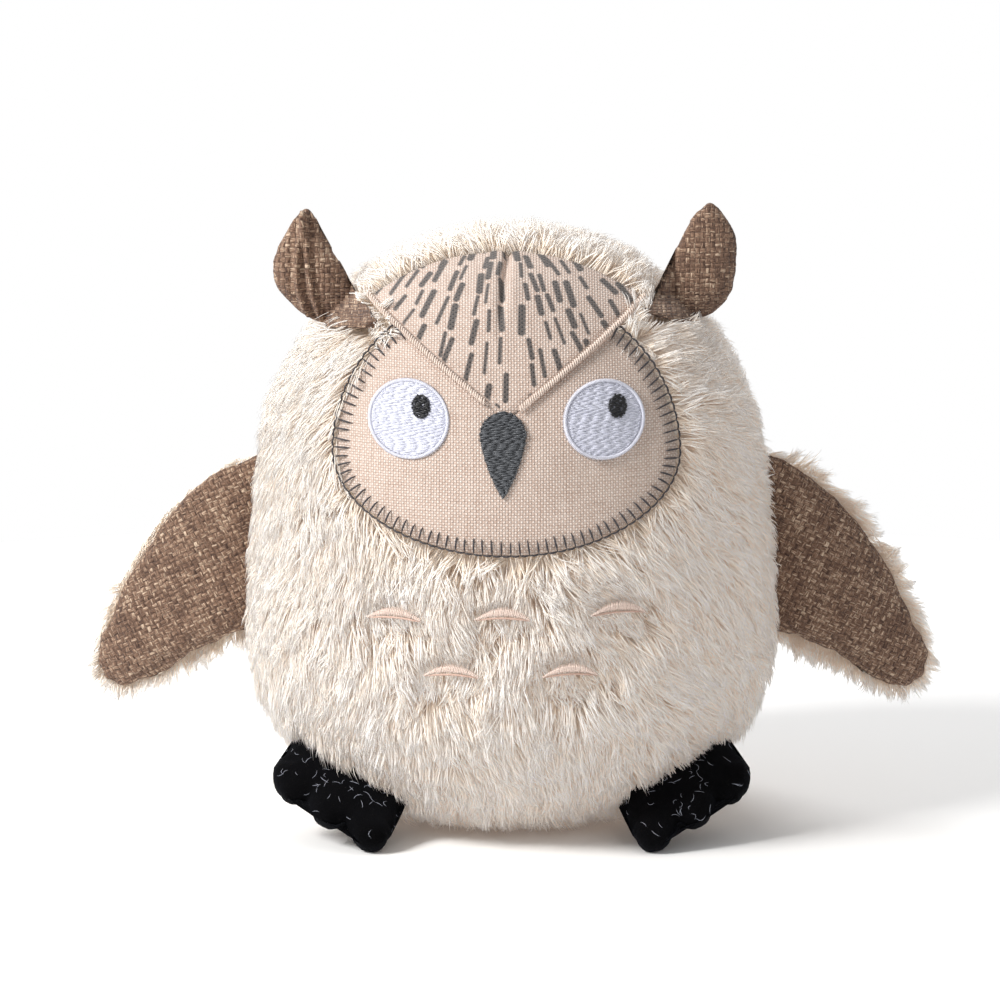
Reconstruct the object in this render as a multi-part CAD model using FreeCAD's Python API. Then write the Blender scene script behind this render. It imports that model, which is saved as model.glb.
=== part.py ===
import FreeCAD, Part
import math
import os
from FreeCAD import Vector

# Interactive plush owl with flapping wings.
# Millimetres, +Z up, front is -Y, left is -X. The origin is the middle of the flat face it sits on.

# ---- body: an egg of revolution made of three tangent arcs -------------------------------------
BOTTOM_R = 55.0        # arc that rolls up from the flat base
SIDE_R = 280.0         # nearly straight flank
WAIST_R = 75.0         # widest radius of the fur surface
WAIST_Z = 58.0
CROWN_Z = 168.5
FUR = 6.0              # backing cloth with its pile
CANVAS_OUT = 0.5       # canvas lies this far inside the fur surface
CANVAS_IN = 3.0
BASE_PANEL_R = 21.0
REACH = 110.0          # longer than any radius, for cutting prisms

# ---- face --------------------------------------------------------------------------------------
FACE_X = -1.6          # the face is sewn slightly off the centre line
OVAL = {"half_width": 47.6, "z": 112.0, "down": 25.7, "up": 44.0}
BROW = {"z": 122.5, "slope": 0.767, "half_span": 38.5, "top_z": 164.7, "half_width": 0.9}
STITCH_BAND = 1.6
EYE = {"dx": 26.8, "z": 122.0, "half_width": 11.1, "half_height": 10.4}
PUPIL = {"dx": 3.6, "dz": 3.3, "half_width": 2.5, "half_height": 3.1}
BEAK = {"dx": -0.9, "half_width": 6.5, "top": 124.6, "wide": 118.0, "tip": 101.1}
FEATHER = {"half_width": 5.8, "rise": 2.6, "thick": 1.4}
FEATHER_PLACES = [(-30.4, 67.8), (-0.9, 68.9), (30.5, 69.6), (-14.8, 53.0), (17.4, 53.2)]

# ---- wings -------------------------------------------------------------------------------------
HINGE_X = 63.5         # vertical hinge pin just inside the skin
WING_THICK = 12.0
WING_LENS_R = 250.0
WING_MID = (98.0, 70.0)
WING_EDGE = [(60, 104), (74, 103.5), (87, 98), (100.5, 86), (111, 71), (118.2, 55.5), (121.2, 45.5),
             (119.6, 38), (113.2, 34.6), (102, 38.6), (90.5, 43.8), (76, 51), (60, 56)]
WING_LINEN = 1.2
WING_FUR = 3.0
WING_FORWARD = 20.0
WING_BACK = 30.0
WINDOW = {"y": (-8.0, 9.0), "z": (79.0, 86.5)}
PADDLE = [(79, 90), (96, 84), (106, 68), (110, 52), (100, 50), (86, 57), (79, 64)]
PADDLE_HALF = 1.0
NECK = {"half": 1.2, "z": (80.5, 84.5), "end": 84.0}

# ---- ears --------------------------------------------------------------------------------------
EAR_Y = -8.0
EAR_THICK = 9.0
EAR_LENS_R = 54.0
EAR_TILT = 15.0
LEFT_EAR_EDGE = [(-50, 134), (-57, 138), (-64.5, 147), (-68.2, 158), (-65.5, 167), (-58.6, 175.4),
                 (-53.5, 168.5), (-46.5, 156), (-39.5, 143), (-36, 134)]
RIGHT_EAR_EDGE = [(48, 136), (57, 140), (62, 148), (64.6, 160), (63, 170), (56.6, 177.4),
                  (51, 172), (46, 163), (41.5, 152), (36, 142)]
LEFT_EAR_HINGE = ((-56.0, 139.5), (-40.5, 148.5))
RIGHT_EAR_HINGE = ((58.0, 139.5), (42.0, 149.5))

# ---- feet --------------------------------------------------------------------------------------
FOOT_SEAM = (Vector(60.0, -26.0, 27.0), Vector(29.0, -43.0, 12.0))    # sewn edge, outer to inner
TOES_TO = Vector(8.2, -20.0, -11.0)
FOOT_HALF = 19.5
TOE_LENGTH = 25.0
TOE_NOTCH = 19.0
FOOT_THICK = 12.5
FOOT_LENS_R = 57.0
STUFFING_SCALE = 0.89
FOOT_LIFT = 20.0

# ---- access flap in the back -------------------------------------------------------------------
FLAP = {"half_width": 29.6, "top": 96.0, "y": 72.4, "drop": 46.0, "gap": 0.4}

# ---- drive core --------------------------------------------------------------------------------
WALL = 2.0
CORE = {"x": 36.0, "front": -14.0, "split": 13.0, "back": 40.0, "z": (44.0, 100.0)}
MODULE = 0.6
PRESSURE_ANGLE = math.radians(25.0)
ADDENDUM = 0.7 * MODULE
DEDENDUM = 0.95 * MODULE
BACKLASH = 0.07        # taken off each tooth's thickness at the pitch line
DRIVE_TEETH = 24
PINION_TEETH = 10
REDUCTION_TEETH = 26
WING_TEETH = 12
PITCH = math.pi * MODULE
DRIVE_R = DRIVE_TEETH * MODULE / 2
PINION_R = PINION_TEETH * MODULE / 2
REDUCTION_R = REDUCTION_TEETH * MODULE / 2
WING_R = WING_TEETH * MODULE / 2
RACK_Y = -WING_R                      # pitch line shared by the racks and the wing pinions
DRIVE_Y = RACK_Y + DRIVE_R
COMPOUND = (DRIVE_R, DRIVE_Y + DRIVE_R + PINION_R)
MOTOR = (COMPOUND[0] - REDUCTION_R - PINION_R, COMPOUND[1])
GEAR_Z = (80.0, 85.0)
PLATE_Z = (73.0, 75.0)
PLATE_BACK = 24.0
COVER_Z = (87.0, 89.0)
PIN_R = 1.0
RUNNING = 0.05         # radial clearance of each turning bore
RACK_X = (3.2, 68.0)
RACK_BACK = -6.6
SPEAKER = {"r": 13.2, "z": 59.4}
BOSS_R = 3.4           # wide enough to run into the wall beside it
SCREW_PLACES = [(x, z) for x in (-31.0, 31.0) for z in (48.0, 96.0)]

# ---- battery box -------------------------------------------------------------------------------
BOX = {"x": 26.0, "front": 45.5, "back": 58.0, "z": (50.5, 95.0), "bay_top": 84.0, "door": 59.5}
CELL = {"r": 5.25, "half": 22.25, "y": 52.5, "z": (57.4, 68.0, 78.6)}
SLIDER = {"x": (10.0, 15.0), "z": (88.0, 91.5), "travel": 3.5}

# ---- press switch behind the belly -------------------------------------------------------------
PRESS = {"z": 52.0, "cap_r": 10.0, "bore_r": 10.3, "r": 12.0}


def box(x, y, z):
    """Box between three (low, high) pairs."""
    size = (x[1] - x[0], y[1] - y[0], z[1] - z[0])
    return Part.makeBox(*size, Vector(x[0], y[0], z[0]))


def rod(radius, start, end):
    """Cylinder between two points."""
    start, end = Vector(*start), Vector(*end)
    return Part.makeCylinder(radius, (end - start).Length, start, end - start)


def mirror(shape):
    return shape.mirror(Vector(0, 0, 0), Vector(1, 0, 0))


def fuse(shapes):
    return shapes[0].multiFuse(shapes[1:]).removeSplitter()


def spin(shape, degrees, point, axis):
    """Copy turned about an axis through a point."""
    turned = shape.copy()
    turned.rotate(Vector(*point), Vector(*axis), degrees)
    return turned


def egg(inset):
    """Solid inside the fur surface by the inset; a negative inset grows it."""
    side = Vector(WAIST_R - SIDE_R, 0, WAIST_Z)
    lift = WAIST_Z - BOTTOM_R
    bottom = Vector(side.x + math.sqrt((SIDE_R - BOTTOM_R) ** 2 - lift ** 2), 0, BOTTOM_R)
    rise = CROWN_Z - WAIST_Z
    top_r = (side.x ** 2 + rise ** 2 - SIDE_R ** 2) / (2 * rise - 2 * SIDE_R)
    top = Vector(0, 0, CROWN_Z - top_r)
    low = math.atan2(bottom.z - side.z, bottom.x - side.x)
    high = math.atan2(top.z - side.z, top.x - side.x)
    edges = []
    quarter = math.pi / 2
    for centre, radius, a, b in [(bottom, BOTTOM_R, -quarter, low), (side, SIDE_R, low, high),
                                 (top, top_r, high, quarter)]:
        radius -= inset
        three = [centre + Vector(math.cos(t), 0, math.sin(t)) * radius for t in (a, (a + b) / 2, b)]
        edges.append(Part.Arc(*three).toShape())
    foot, crown = Vector(0, 0, inset), Vector(0, 0, CROWN_Z - inset)
    edges.insert(0, Part.makeLine(foot, Vector(bottom.x, 0, inset)))
    edges.append(Part.makeLine(crown, foot))
    return Part.Face(Part.Wire(edges)).revolve(Vector(0, 0, 0), Vector(0, 0, 1), 360)


def shell(outer, inner):
    return egg(outer).cut(egg(inner))


def prism(edges, y=(-REACH, 0.0)):
    """Front-view outline, drawn in X and Z, extended along Y."""
    face = Part.Face(Part.Wire(edges))
    face.translate(Vector(0, y[0], 0))
    return face.extrude(Vector(0, y[1] - y[0], 0))


def polygon(points):
    corners = [Vector(x, 0, z) for x, z in points]
    return Part.makePolygon(corners + corners[:1]).Edges


def arc(a, b, c):
    return Part.Arc(*[Vector(x, 0, z) for x, z in (a, b, c)]).toShape()


def half_ellipse(x, z, half_width, height):
    """Upper half for a positive height, lower half for a negative one, from +X to -X."""
    centre, top = Vector(x, 0, z), Vector(x, 0, z + height)
    if half_width > abs(height):
        return Part.Arc(Part.Ellipse(Vector(x + half_width, 0, z), top, centre), 0, math.pi).toShape()
    curve = Part.Ellipse(top, Vector(x - half_width, 0, z), centre)
    return Part.Arc(curve, -math.pi / 2, math.pi / 2).toShape()


def ellipse_prism(x, z, half_width, up, down):
    return prism([half_ellipse(x, z, half_width, up), half_ellipse(x, z, half_width, -down)])


# ---- face and fur ------------------------------------------------------------------------------
def oval_prism(inset=0.0):
    return ellipse_prism(FACE_X, OVAL["z"], OVAL["half_width"] - inset, OVAL["up"] - inset,
                         OVAL["down"] - inset)


def above_brow():
    """Everything above the V-shaped brow seam."""
    far = 2 * BROW["half_span"]
    z = BROW["z"] + BROW["slope"] * far
    return prism(polygon([(FACE_X, BROW["z"]), (FACE_X + far, z), (FACE_X - far, z)]))


def forehead_prism():
    span = BROW["half_span"]
    low = (FACE_X, BROW["z"])
    z = BROW["z"] + BROW["slope"] * span
    left, right = (FACE_X - span, z), (FACE_X + span, z)
    sides = [Part.makeLine(Vector(left[0], 0, z), Vector(low[0], 0, low[1])),
             Part.makeLine(Vector(low[0], 0, low[1]), Vector(right[0], 0, z))]
    return prism(sides + [arc(right, (FACE_X, BROW["top_z"]), left)])


def brow_strip():
    """Narrow V that covers the seam between the two canvas pieces."""
    half = BROW["half_width"] * math.hypot(1, BROW["slope"])
    strips = []
    for side in (-1, 1):
        end = FACE_X + side * BROW["half_span"]
        z = BROW["z"] + BROW["slope"] * BROW["half_span"]
        corners = [(FACE_X, BROW["z"] - half), (end, z - half), (end, z + half), (FACE_X, BROW["z"] + half)]
        strips.append(prism(polygon(corners)))
    return fuse(strips)


def beak_prism():
    x, wide = FACE_X + BEAK["dx"], BEAK["half_width"]
    left, right = (x - wide, BEAK["wide"]), (x + wide, BEAK["wide"])
    tip = (x, BEAK["tip"])
    flank = 0.66 * wide
    z = (BEAK["wide"] + BEAK["tip"]) / 2
    return prism([arc(left, (x, BEAK["top"]), right), arc(right, (x + flank, z), tip),
                  arc(tip, (x - flank, z), left)])


def feather_prism(x, z):
    """Crescent, arched upwards."""
    w, rise, thick = FEATHER["half_width"], FEATHER["rise"], FEATHER["thick"]
    left, right = (x - w, z), (x + w, z)
    return prism([arc(left, (x, z + rise), right), arc(right, (x, z + rise - thick), left)])


def make_face():
    oval = oval_prism().cut(above_brow())
    canvas = shell(CANVAS_OUT, CANVAS_IN)
    raised = shell(-0.5, CANVAS_OUT)
    band = oval.cut(oval_prism(STITCH_BAND)).cut(brow_strip())
    parts = {
        "face_canvas": canvas.common(oval),
        "forehead_canvas": canvas.common(forehead_prism()),
        "brow_piping": shell(-0.7, CANVAS_OUT).common(brow_strip().common(forehead_prism().fuse(oval)))
                       .cut(beak_prism()),
        "face_stitching": shell(0.1, CANVAS_OUT).common(band),
        "beak_embroidery": raised.common(beak_prism()),
    }
    for side, sign in (("left", -1), ("right", 1)):
        x = FACE_X + sign * EYE["dx"]
        eye = ellipse_prism(x, EYE["z"], EYE["half_width"], EYE["half_height"], EYE["half_height"])
        parts[side + "_eye_embroidery"] = shell(0.0, CANVAS_OUT).common(eye)
        pupil = ellipse_prism(x + PUPIL["dx"], EYE["z"] + PUPIL["dz"], PUPIL["half_width"],
                              PUPIL["half_height"], PUPIL["half_height"])
        parts[side + "_pupil_embroidery"] = shell(-0.5, 0.0).common(pupil)
    feathers = [shell(-0.4, 0.0).common(feather_prism(FACE_X + x, z)) for x, z in FEATHER_PLACES]
    parts["belly_embroidery"] = Part.makeCompound(feathers)
    return parts


def flap_region(gap):
    """Space of the access flap, grown by a gap; its lower edge is a cylinder about the hinge."""
    width = FLAP["half_width"] + gap
    slab = box((-width, width), (0, REACH), (FLAP["top"] - REACH, FLAP["top"] + gap))
    sweep = rod(FLAP["drop"] + gap, (-width, FLAP["y"], FLAP["top"]), (width, FLAP["y"], FLAP["top"]))
    return slab.common(sweep)


def wing_window():
    return box((HINGE_X, REACH), WINDOW["y"], WINDOW["z"])


def make_skin():
    face = oval_prism().fuse(forehead_prism())
    fur = shell(0, FUR).cut(face).cut(rod(BASE_PANEL_R, (0, 0, -1), (0, 0, 10)))
    fur = fur.cut(wing_window()).cut(mirror(wing_window())).cut(flap_region(FLAP["gap"]))
    parts = {"base_panel": shell(0, CANVAS_IN).common(rod(BASE_PANEL_R, (0, 0, -1), (0, 0, 10)))}
    tall = (-REACH, 2 * REACH)
    for y_name, y in (("front", (-REACH, 0)), ("back", (0, REACH))):
        for x_name, x in (("left", (-REACH, 0)), ("right", (0, REACH))):
            parts[y_name + "_" + x_name + "_fur"] = fur.common(box(x, y, tall))
    parts["back_flap"] = shell(0, FUR).common(flap_region(0))
    return parts


# ---- wings, ears and feet ----------------------------------------------------------------------
def smooth_outline(points):
    """Closed outline: a curve through the points and a straight root line."""
    curve = Part.BSplineCurve()
    curve.interpolate([Vector(x, 0, z) for x, z in points])
    return [curve.toShape(), Part.makeLine(curve.EndPoint, curve.StartPoint)]


def pillow_faces(centre, thick, radius):
    """Front and back spheres whose common part is a pillow-shaped lens."""
    offset = radius - thick / 2
    x, y, z = centre
    return [Part.makeSphere(radius, Vector(x, y + side * offset, z)) for side in (1, -1)]


def keep_clear(piece, point, axis, angles):
    """Cut the piece so that it clears the body at each angle of its hinge."""
    body = egg(-0.5)
    for angle in angles:
        piece = piece.cut(spin(body, -angle, point, axis))
    return piece


def shifted(shape, y):
    moved = shape.copy()
    moved.translate(Vector(0, y, 0))
    return moved


def make_right_wing():
    front, back = pillow_faces((WING_MID[0], 0, WING_MID[1]), WING_THICK, WING_LENS_R)
    blank = prism(smooth_outline(WING_EDGE), (-WING_THICK, WING_THICK)).common(front).common(back)
    blank = keep_clear(blank, (HINGE_X, 0, 0), (0, 0, 1), (0, -WING_FORWARD, WING_BACK))
    blank = blank.cut(paddle_plate())
    inner = blank.common(shifted(front, WING_LINEN))
    return {
        "wing_linen": blank.cut(shifted(front, WING_LINEN)),
        "wing_fur": inner.cut(shifted(back, -WING_FUR)),
        "wing_fill": inner.common(shifted(back, -WING_FUR)),
    }


def paddle_plate():
    """Stiffener inside the right wing, with the neck that leads to its hinge."""
    neck = box((HINGE_X + WING_R - DEDENDUM, NECK["end"]), (-NECK["half"], NECK["half"]), NECK["z"])
    return neck.fuse(prism(polygon(PADDLE), (-PADDLE_HALF, PADDLE_HALF)))


def wing_paddle(phase):
    """Stiffener, neck and pinion moulded in one."""
    gear_z = (GEAR_Z[0] - 0.2, GEAR_Z[1] + 0.2)
    pinion = toothed_wheel(WING_TEETH, gear_z, (HINGE_X, 0), phase)
    bore = rod(PIN_R + RUNNING, (HINGE_X, 0, 0), (HINGE_X, 0, REACH))
    return fuse([paddle_plate(), pinion]).cut(bore)


def make_ear(edge, hinge):
    xs, zs = [p[0] for p in edge], [p[1] for p in edge]
    centre = ((min(xs) + max(xs)) / 2, EAR_Y, (min(zs) + max(zs)) / 2)
    front, back = pillow_faces(centre, EAR_THICK, EAR_LENS_R)
    blank = prism(smooth_outline(edge), (EAR_Y - EAR_THICK, EAR_Y + EAR_THICK))
    blank = blank.common(front).common(back)
    (x0, z0), (x1, z1) = hinge
    return keep_clear(blank, (x0, EAR_Y, z0), (x1 - x0, 0, z1 - z0), (0, -EAR_TILT, EAR_TILT))


def foot_outline():
    """Three-toed outline in the plane of the sewn edge and the toes, with its normal and centre."""
    middle = (FOOT_SEAM[0] + FOOT_SEAM[1]) / 2
    across = (FOOT_SEAM[0] - FOOT_SEAM[1]).normalize()
    along = Vector(TOES_TO).normalize()
    half, third, side_end = FOOT_HALF, FOOT_HALF / 3, 0.6 * TOE_LENGTH

    def place(side, reach):
        return middle + across * side + along * reach

    lobes = [(place(-half, side_end), place(-2.1 * third, TOE_LENGTH), place(-third, TOE_NOTCH)),
             (place(-third, TOE_NOTCH), place(0, TOE_LENGTH + 0.5), place(third, TOE_NOTCH)),
             (place(third, TOE_NOTCH), place(2.1 * third, TOE_LENGTH), place(half, side_end))]
    edges = [Part.Arc(*lobe).toShape() for lobe in lobes]
    corners = [place(half, side_end), place(half - 1, -9.0), place(1 - half, -9.0), place(-half, side_end)]
    edges += [Part.makeLine(a, b) for a, b in zip(corners, corners[1:])]
    return Part.Face(Part.Wire(edges)), across.cross(along).normalize(), place(0, TOE_LENGTH / 2)


def foot_solid(scale):
    """Lens-shaped slab of the foot, scaled about its middle."""
    face, normal, centre = foot_outline()
    face.translate(normal * -FOOT_THICK)
    slab = face.extrude(normal * 2 * FOOT_THICK)
    for side in (-1, 1):
        offset = side * (FOOT_LENS_R - FOOT_THICK / 2)
        slab = slab.common(Part.makeSphere(FOOT_LENS_R, centre + normal * offset))
    slab.scale(scale, centre)
    return slab


def make_right_foot():
    axis = FOOT_SEAM[1] - FOOT_SEAM[0]
    outer = keep_clear(foot_solid(1.0), FOOT_SEAM[0], axis, (0, FOOT_LIFT / 2, FOOT_LIFT))
    outer = outer.common(box((0, REACH), (-REACH, 0), (0, REACH)))
    stuffing = foot_solid(STUFFING_SCALE).common(box((0, REACH), (-REACH, 0), (WALL / 2, REACH)))
    return {"foot_velour": outer.cut(stuffing), "foot_fill": outer.common(stuffing)}


# ---- gears -------------------------------------------------------------------------------------
def toothed_wheel(teeth, z, centre, phase):
    """Involute wheel with one tooth centred at the phase angle, in degrees."""
    pitch_r = teeth * MODULE / 2
    base_r = pitch_r * math.cos(PRESSURE_ANGLE)
    root_r, tip_r = pitch_r - DEDENDUM, pitch_r + ADDENDUM
    half_tooth = math.pi / (2 * teeth) - BACKLASH / (2 * pitch_r)
    involute_at_pitch = math.tan(PRESSURE_ANGLE) - PRESSURE_ANGLE
    flank = []
    start = max(base_r, root_r)
    for step in range(4):
        r = start + (tip_r - start) * step / 3
        angle = math.acos(min(1.0, base_r / r))
        flank.append((r, half_tooth + involute_at_pitch - (math.tan(angle) - angle)))
    if root_r < start:
        flank.insert(0, (root_r, flank[0][1]))
    points = []
    for index in range(teeth):
        middle = math.radians(phase) + 2 * math.pi * index / teeth
        for r, half in flank:
            points.append((r, middle - half))
        for r, half in reversed(flank):
            points.append((r, middle + half))
    corners = [Vector(centre[0] + r * math.cos(t), centre[1] + r * math.sin(t), z[0]) for r, t in points]
    outline = Part.makePolygon(corners + corners[:1])
    return Part.Face(outline).extrude(Vector(0, 0, z[1] - z[0]))


def wing_pinion_phase():
    """The right rack has a gap at the drive gear, so its teeth fix the wing pinion's angle."""
    teeth_away = (HINGE_X - DRIVE_R) / PITCH - 0.5
    offset = (round(teeth_away) - teeth_away) * PITCH
    return 270 + math.degrees(offset / WING_R) + 180 / WING_TEETH


def right_rack():
    tip, root = RACK_Y + ADDENDUM, RACK_Y - DEDENDUM
    half = PITCH / 4 - BACKLASH / 2
    slope = math.tan(PRESSURE_ANGLE)
    points = [(RACK_X[0], RACK_BACK), (RACK_X[0], root)]
    index = math.ceil((RACK_X[0] + half - DRIVE_R) / PITCH - 0.5)
    while DRIVE_R + (index + 0.5) * PITCH + PITCH / 2 < RACK_X[1]:
        x = DRIVE_R + (index + 0.5) * PITCH
        foot, top = half + DEDENDUM * slope, half - ADDENDUM * slope
        points += [(x - foot, root), (x - top, tip), (x + top, tip), (x + foot, root)]
        index += 1
    points += [(RACK_X[1], root), (RACK_X[1], RACK_BACK)]
    corners = [Vector(x, y, GEAR_Z[0]) for x, y in points]
    return Part.Face(Part.makePolygon(corners + corners[:1])).extrude(Vector(0, 0, GEAR_Z[1] - GEAR_Z[0]))


def drive_gear(side):
    """One of the two meshed centre gears, with a short hub."""
    centre = (side * DRIVE_R, DRIVE_Y)
    phase = 0.0 if side > 0 else 180.0 / DRIVE_TEETH
    wheel = toothed_wheel(DRIVE_TEETH, GEAR_Z, centre, phase)
    hub = rod(2.4, (*centre, 79.0), (*centre, 86.6))
    return fuse([wheel, hub]).cut(rod(PIN_R + RUNNING, (*centre, 70), (*centre, 95)))


def make_gears():
    large = toothed_wheel(REDUCTION_TEETH, (75.4, 78.4), COMPOUND, 0.0)
    small = toothed_wheel(PINION_TEETH, (78.4, 86.6), COMPOUND, 0.0)
    bore = rod(PIN_R + RUNNING, (*COMPOUND, 70), (*COMPOUND, 95))
    pinion = toothed_wheel(PINION_TEETH, (75.4, 78.8), MOTOR, 180.0 / PINION_TEETH)
    shaft = rod(PIN_R, (*MOTOR, 60.5), (*MOTOR, 79.2))
    return {
        "left_drive_gear": drive_gear(-1),
        "right_drive_gear": drive_gear(1),
        "compound_gear": fuse([large, small]).cut(bore),
        "motor_pinion": fuse([pinion, shaft]),
        "left_rack": left_rack(),
        "right_rack": right_rack(),
    }


def left_rack():
    """The left rack is the right one mirrored, then moved half a pitch so that it meshes."""
    rack = mirror(right_rack())
    rack.translate(Vector(PITCH / 2, 0, 0))
    return rack


def make_pins():
    """Five steel pins: two stepped, one plain and two wing hinge pins."""
    pins = [rod(PIN_R, (*COMPOUND, PLATE_Z[0]), (*COMPOUND, COVER_Z[1]))]
    for side in (-1, 1):
        centre = (side * DRIVE_R, DRIVE_Y)
        step = rod(1.25, (*centre, PLATE_Z[0]), (*centre, 78.8))
        pins.append(fuse([step, rod(PIN_R, (*centre, 78.8), (*centre, COVER_Z[1]))]))
        hinge = (side * HINGE_X, 0)
        pins.append(rod(PIN_R, (*hinge, 77.4), (*hinge, 87.6)))
    return Part.makeCompound(pins)


# ---- core --------------------------------------------------------------------------------------
def core_half(y, inner_y):
    x, z = CORE["x"], CORE["z"]
    outer = box((-x, x), y, z)
    hollow = box((WALL - x, x - WALL), inner_y, (z[0] + WALL, z[1] - WALL))
    bosses = [rod(BOSS_R, (sx, y[0], sz), (sx, y[1], sz)) for sx, sz in SCREW_PLACES]
    ledge_y = (inner_y[0], min(inner_y[1], PLATE_BACK))
    ledge = box((x - WALL - 3.0, x - WALL), ledge_y, (PLATE_Z[0] - WALL, PLATE_Z[0]))
    return fuse([outer.cut(hollow), ledge, mirror(ledge)] + bosses)


def make_housing():
    slot = box((CORE["x"] - WALL - 1, CORE["x"] + 1), (-8.0, -2.0), (79.0, 86.0))
    front = core_half((CORE["front"], CORE["split"]), (CORE["front"] + WALL, CORE["split"]))
    front = front.cut(slot).cut(mirror(slot))
    for ring, count in ((0.0, 1), (4.2, 6), (8.4, 12)):
        for index in range(count):
            a = 2 * math.pi * index / count
            x, z = ring * math.cos(a), SPEAKER["z"] + ring * math.sin(a)
            front = front.cut(rod(1.0, (x, CORE["front"] - 1, z), (x, CORE["front"] + WALL + 1, z)))
    back = core_half((CORE["split"], CORE["back"]), (CORE["split"], CORE["back"] - WALL))
    screws = []
    for x, z in SCREW_PLACES:
        shank = rod(1.25, (x, 0.0, z), (x, CORE["back"], z))
        front, back = front.cut(shank), back.cut(shank)
        head = rod(2.4, (x, CORE["back"], z), (x, CORE["back"] + 1.6, z))
        cross = [box((x - 1.2, x + 1.2), (CORE["back"] + 0.8, CORE["back"] + 2), (z - 0.3, z + 0.3)),
                 box((x - 0.3, x + 0.3), (CORE["back"] + 0.8, CORE["back"] + 2), (z - 1.2, z + 1.2))]
        screws.append(fuse([shank, head]).cut(cross[0]).cut(cross[1]))
    return {"core_front_shell": front, "core_back_shell": back, "core_screws": Part.makeCompound(screws)}


def make_frame():
    """Gear plate with its rack rail, gear cover on posts, motor and its mount."""
    x = CORE["x"] - WALL - 0.2
    plate = fuse([box((-x, x), (-11.5, PLATE_BACK), PLATE_Z),
                  box((-x, x), (-9.0, -7.0), (PLATE_Z[1], 86.6)),
                  box((-x, x), (-7.0, -3.9), (PLATE_Z[1], 79.6))])
    posts = [(-17.0, 21.0), (19.5, 21.0), (-17.0, -0.5), (17.0, -0.5)]
    columns = [rod(2.0, (*p, PLATE_Z[1]), (*p, COVER_Z[0])) for p in posts]
    plate = fuse([plate] + columns)
    cover = box((-20.0, 22.0), (-3.0, PLATE_BACK), COVER_Z)
    pins = make_pins()
    plate = plate.cut(pins).cut(rod(2.5, (*MOTOR, 70), (*MOTOR, PLATE_Z[1])))
    can = box((MOTOR[0] - 10, MOTOR[0] + 10), (MOTOR[1] - 7.5, MOTOR[1] + 7.5), (48.0, PLATE_Z[0]))
    can = can.common(rod(10.0, (*MOTOR, 48), (*MOTOR, PLATE_Z[0])))
    can = can.cut(rod(PIN_R + RUNNING, (*MOTOR, 60.0), (*MOTOR, PLATE_Z[0])))
    return {"gear_plate": plate, "gear_cover": cover.cut(pins), "motor_can": can, "steel_pins": pins}


def make_right_arm():
    """Bracket from the core to the wing hinge: two plates, a back rail for the rack and a flange."""
    parts = [box((CORE["x"], CORE["x"] + 2), (-12.0, 6.0), (74.0, 91.0)),
             box((CORE["x"] + 1, 65.0), (-9.0, -7.0), (77.4, 87.6))]
    for z in ((77.4, 79.4), (85.6, 87.6)):
        parts.append(box((CORE["x"] + 1, HINGE_X), (-9.0, 3.6), z))
        parts.append(rod(3.6, (HINGE_X, 0, z[0]), (HINGE_X, 0, z[1])))
    arm = fuse(parts).cut(box((CORE["x"] - 1, CORE["x"] + 3), (-7.2, -2.4), (79.4, 85.6)))
    return arm.cut(rod(PIN_R, (HINGE_X, 0, 70), (HINGE_X, 0, 95)))


def make_electronics():
    board = [box((-27, 27), (30.0, 31.6), (50.0, 92.0)), box((-6, 6), (28.4, 30.0), (66.0, 78.0)),
             rod(3.0, (15, 30.0, 60), (15, 22.0, 60)), box((-22, -14), (26.0, 30.0), (54.0, 60.0))]
    for index in range(5):
        z = 80.0 + 2.2 * index
        board.append(box((10, 13), (29.2, 30.0), (z, z + 1.2)))
    z = SPEAKER["z"]
    front = CORE["front"] + WALL
    basket = rod(SPEAKER["r"], (0, front, z), (0, front + 2.0, z))
    bowl = Part.makeCone(11.5, 8.0, 3.5, Vector(0, front + 2.0, z), Vector(0, 1, 0))
    magnet = rod(8.0, (0, front + 5.5, z), (0, front + 10.0, z))
    dish = Part.makeCone(11.0, 3.0, 3.5, Vector(0, front, z), Vector(0, 1, 0))
    dust_cap = rod(3.0, (0, front + 2.4, z), (0, front + 3.5, z))
    return {"circuit_board": fuse(board), "speaker": fuse([basket, bowl, magnet]).cut(dish).fuse(dust_cap)}


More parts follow.
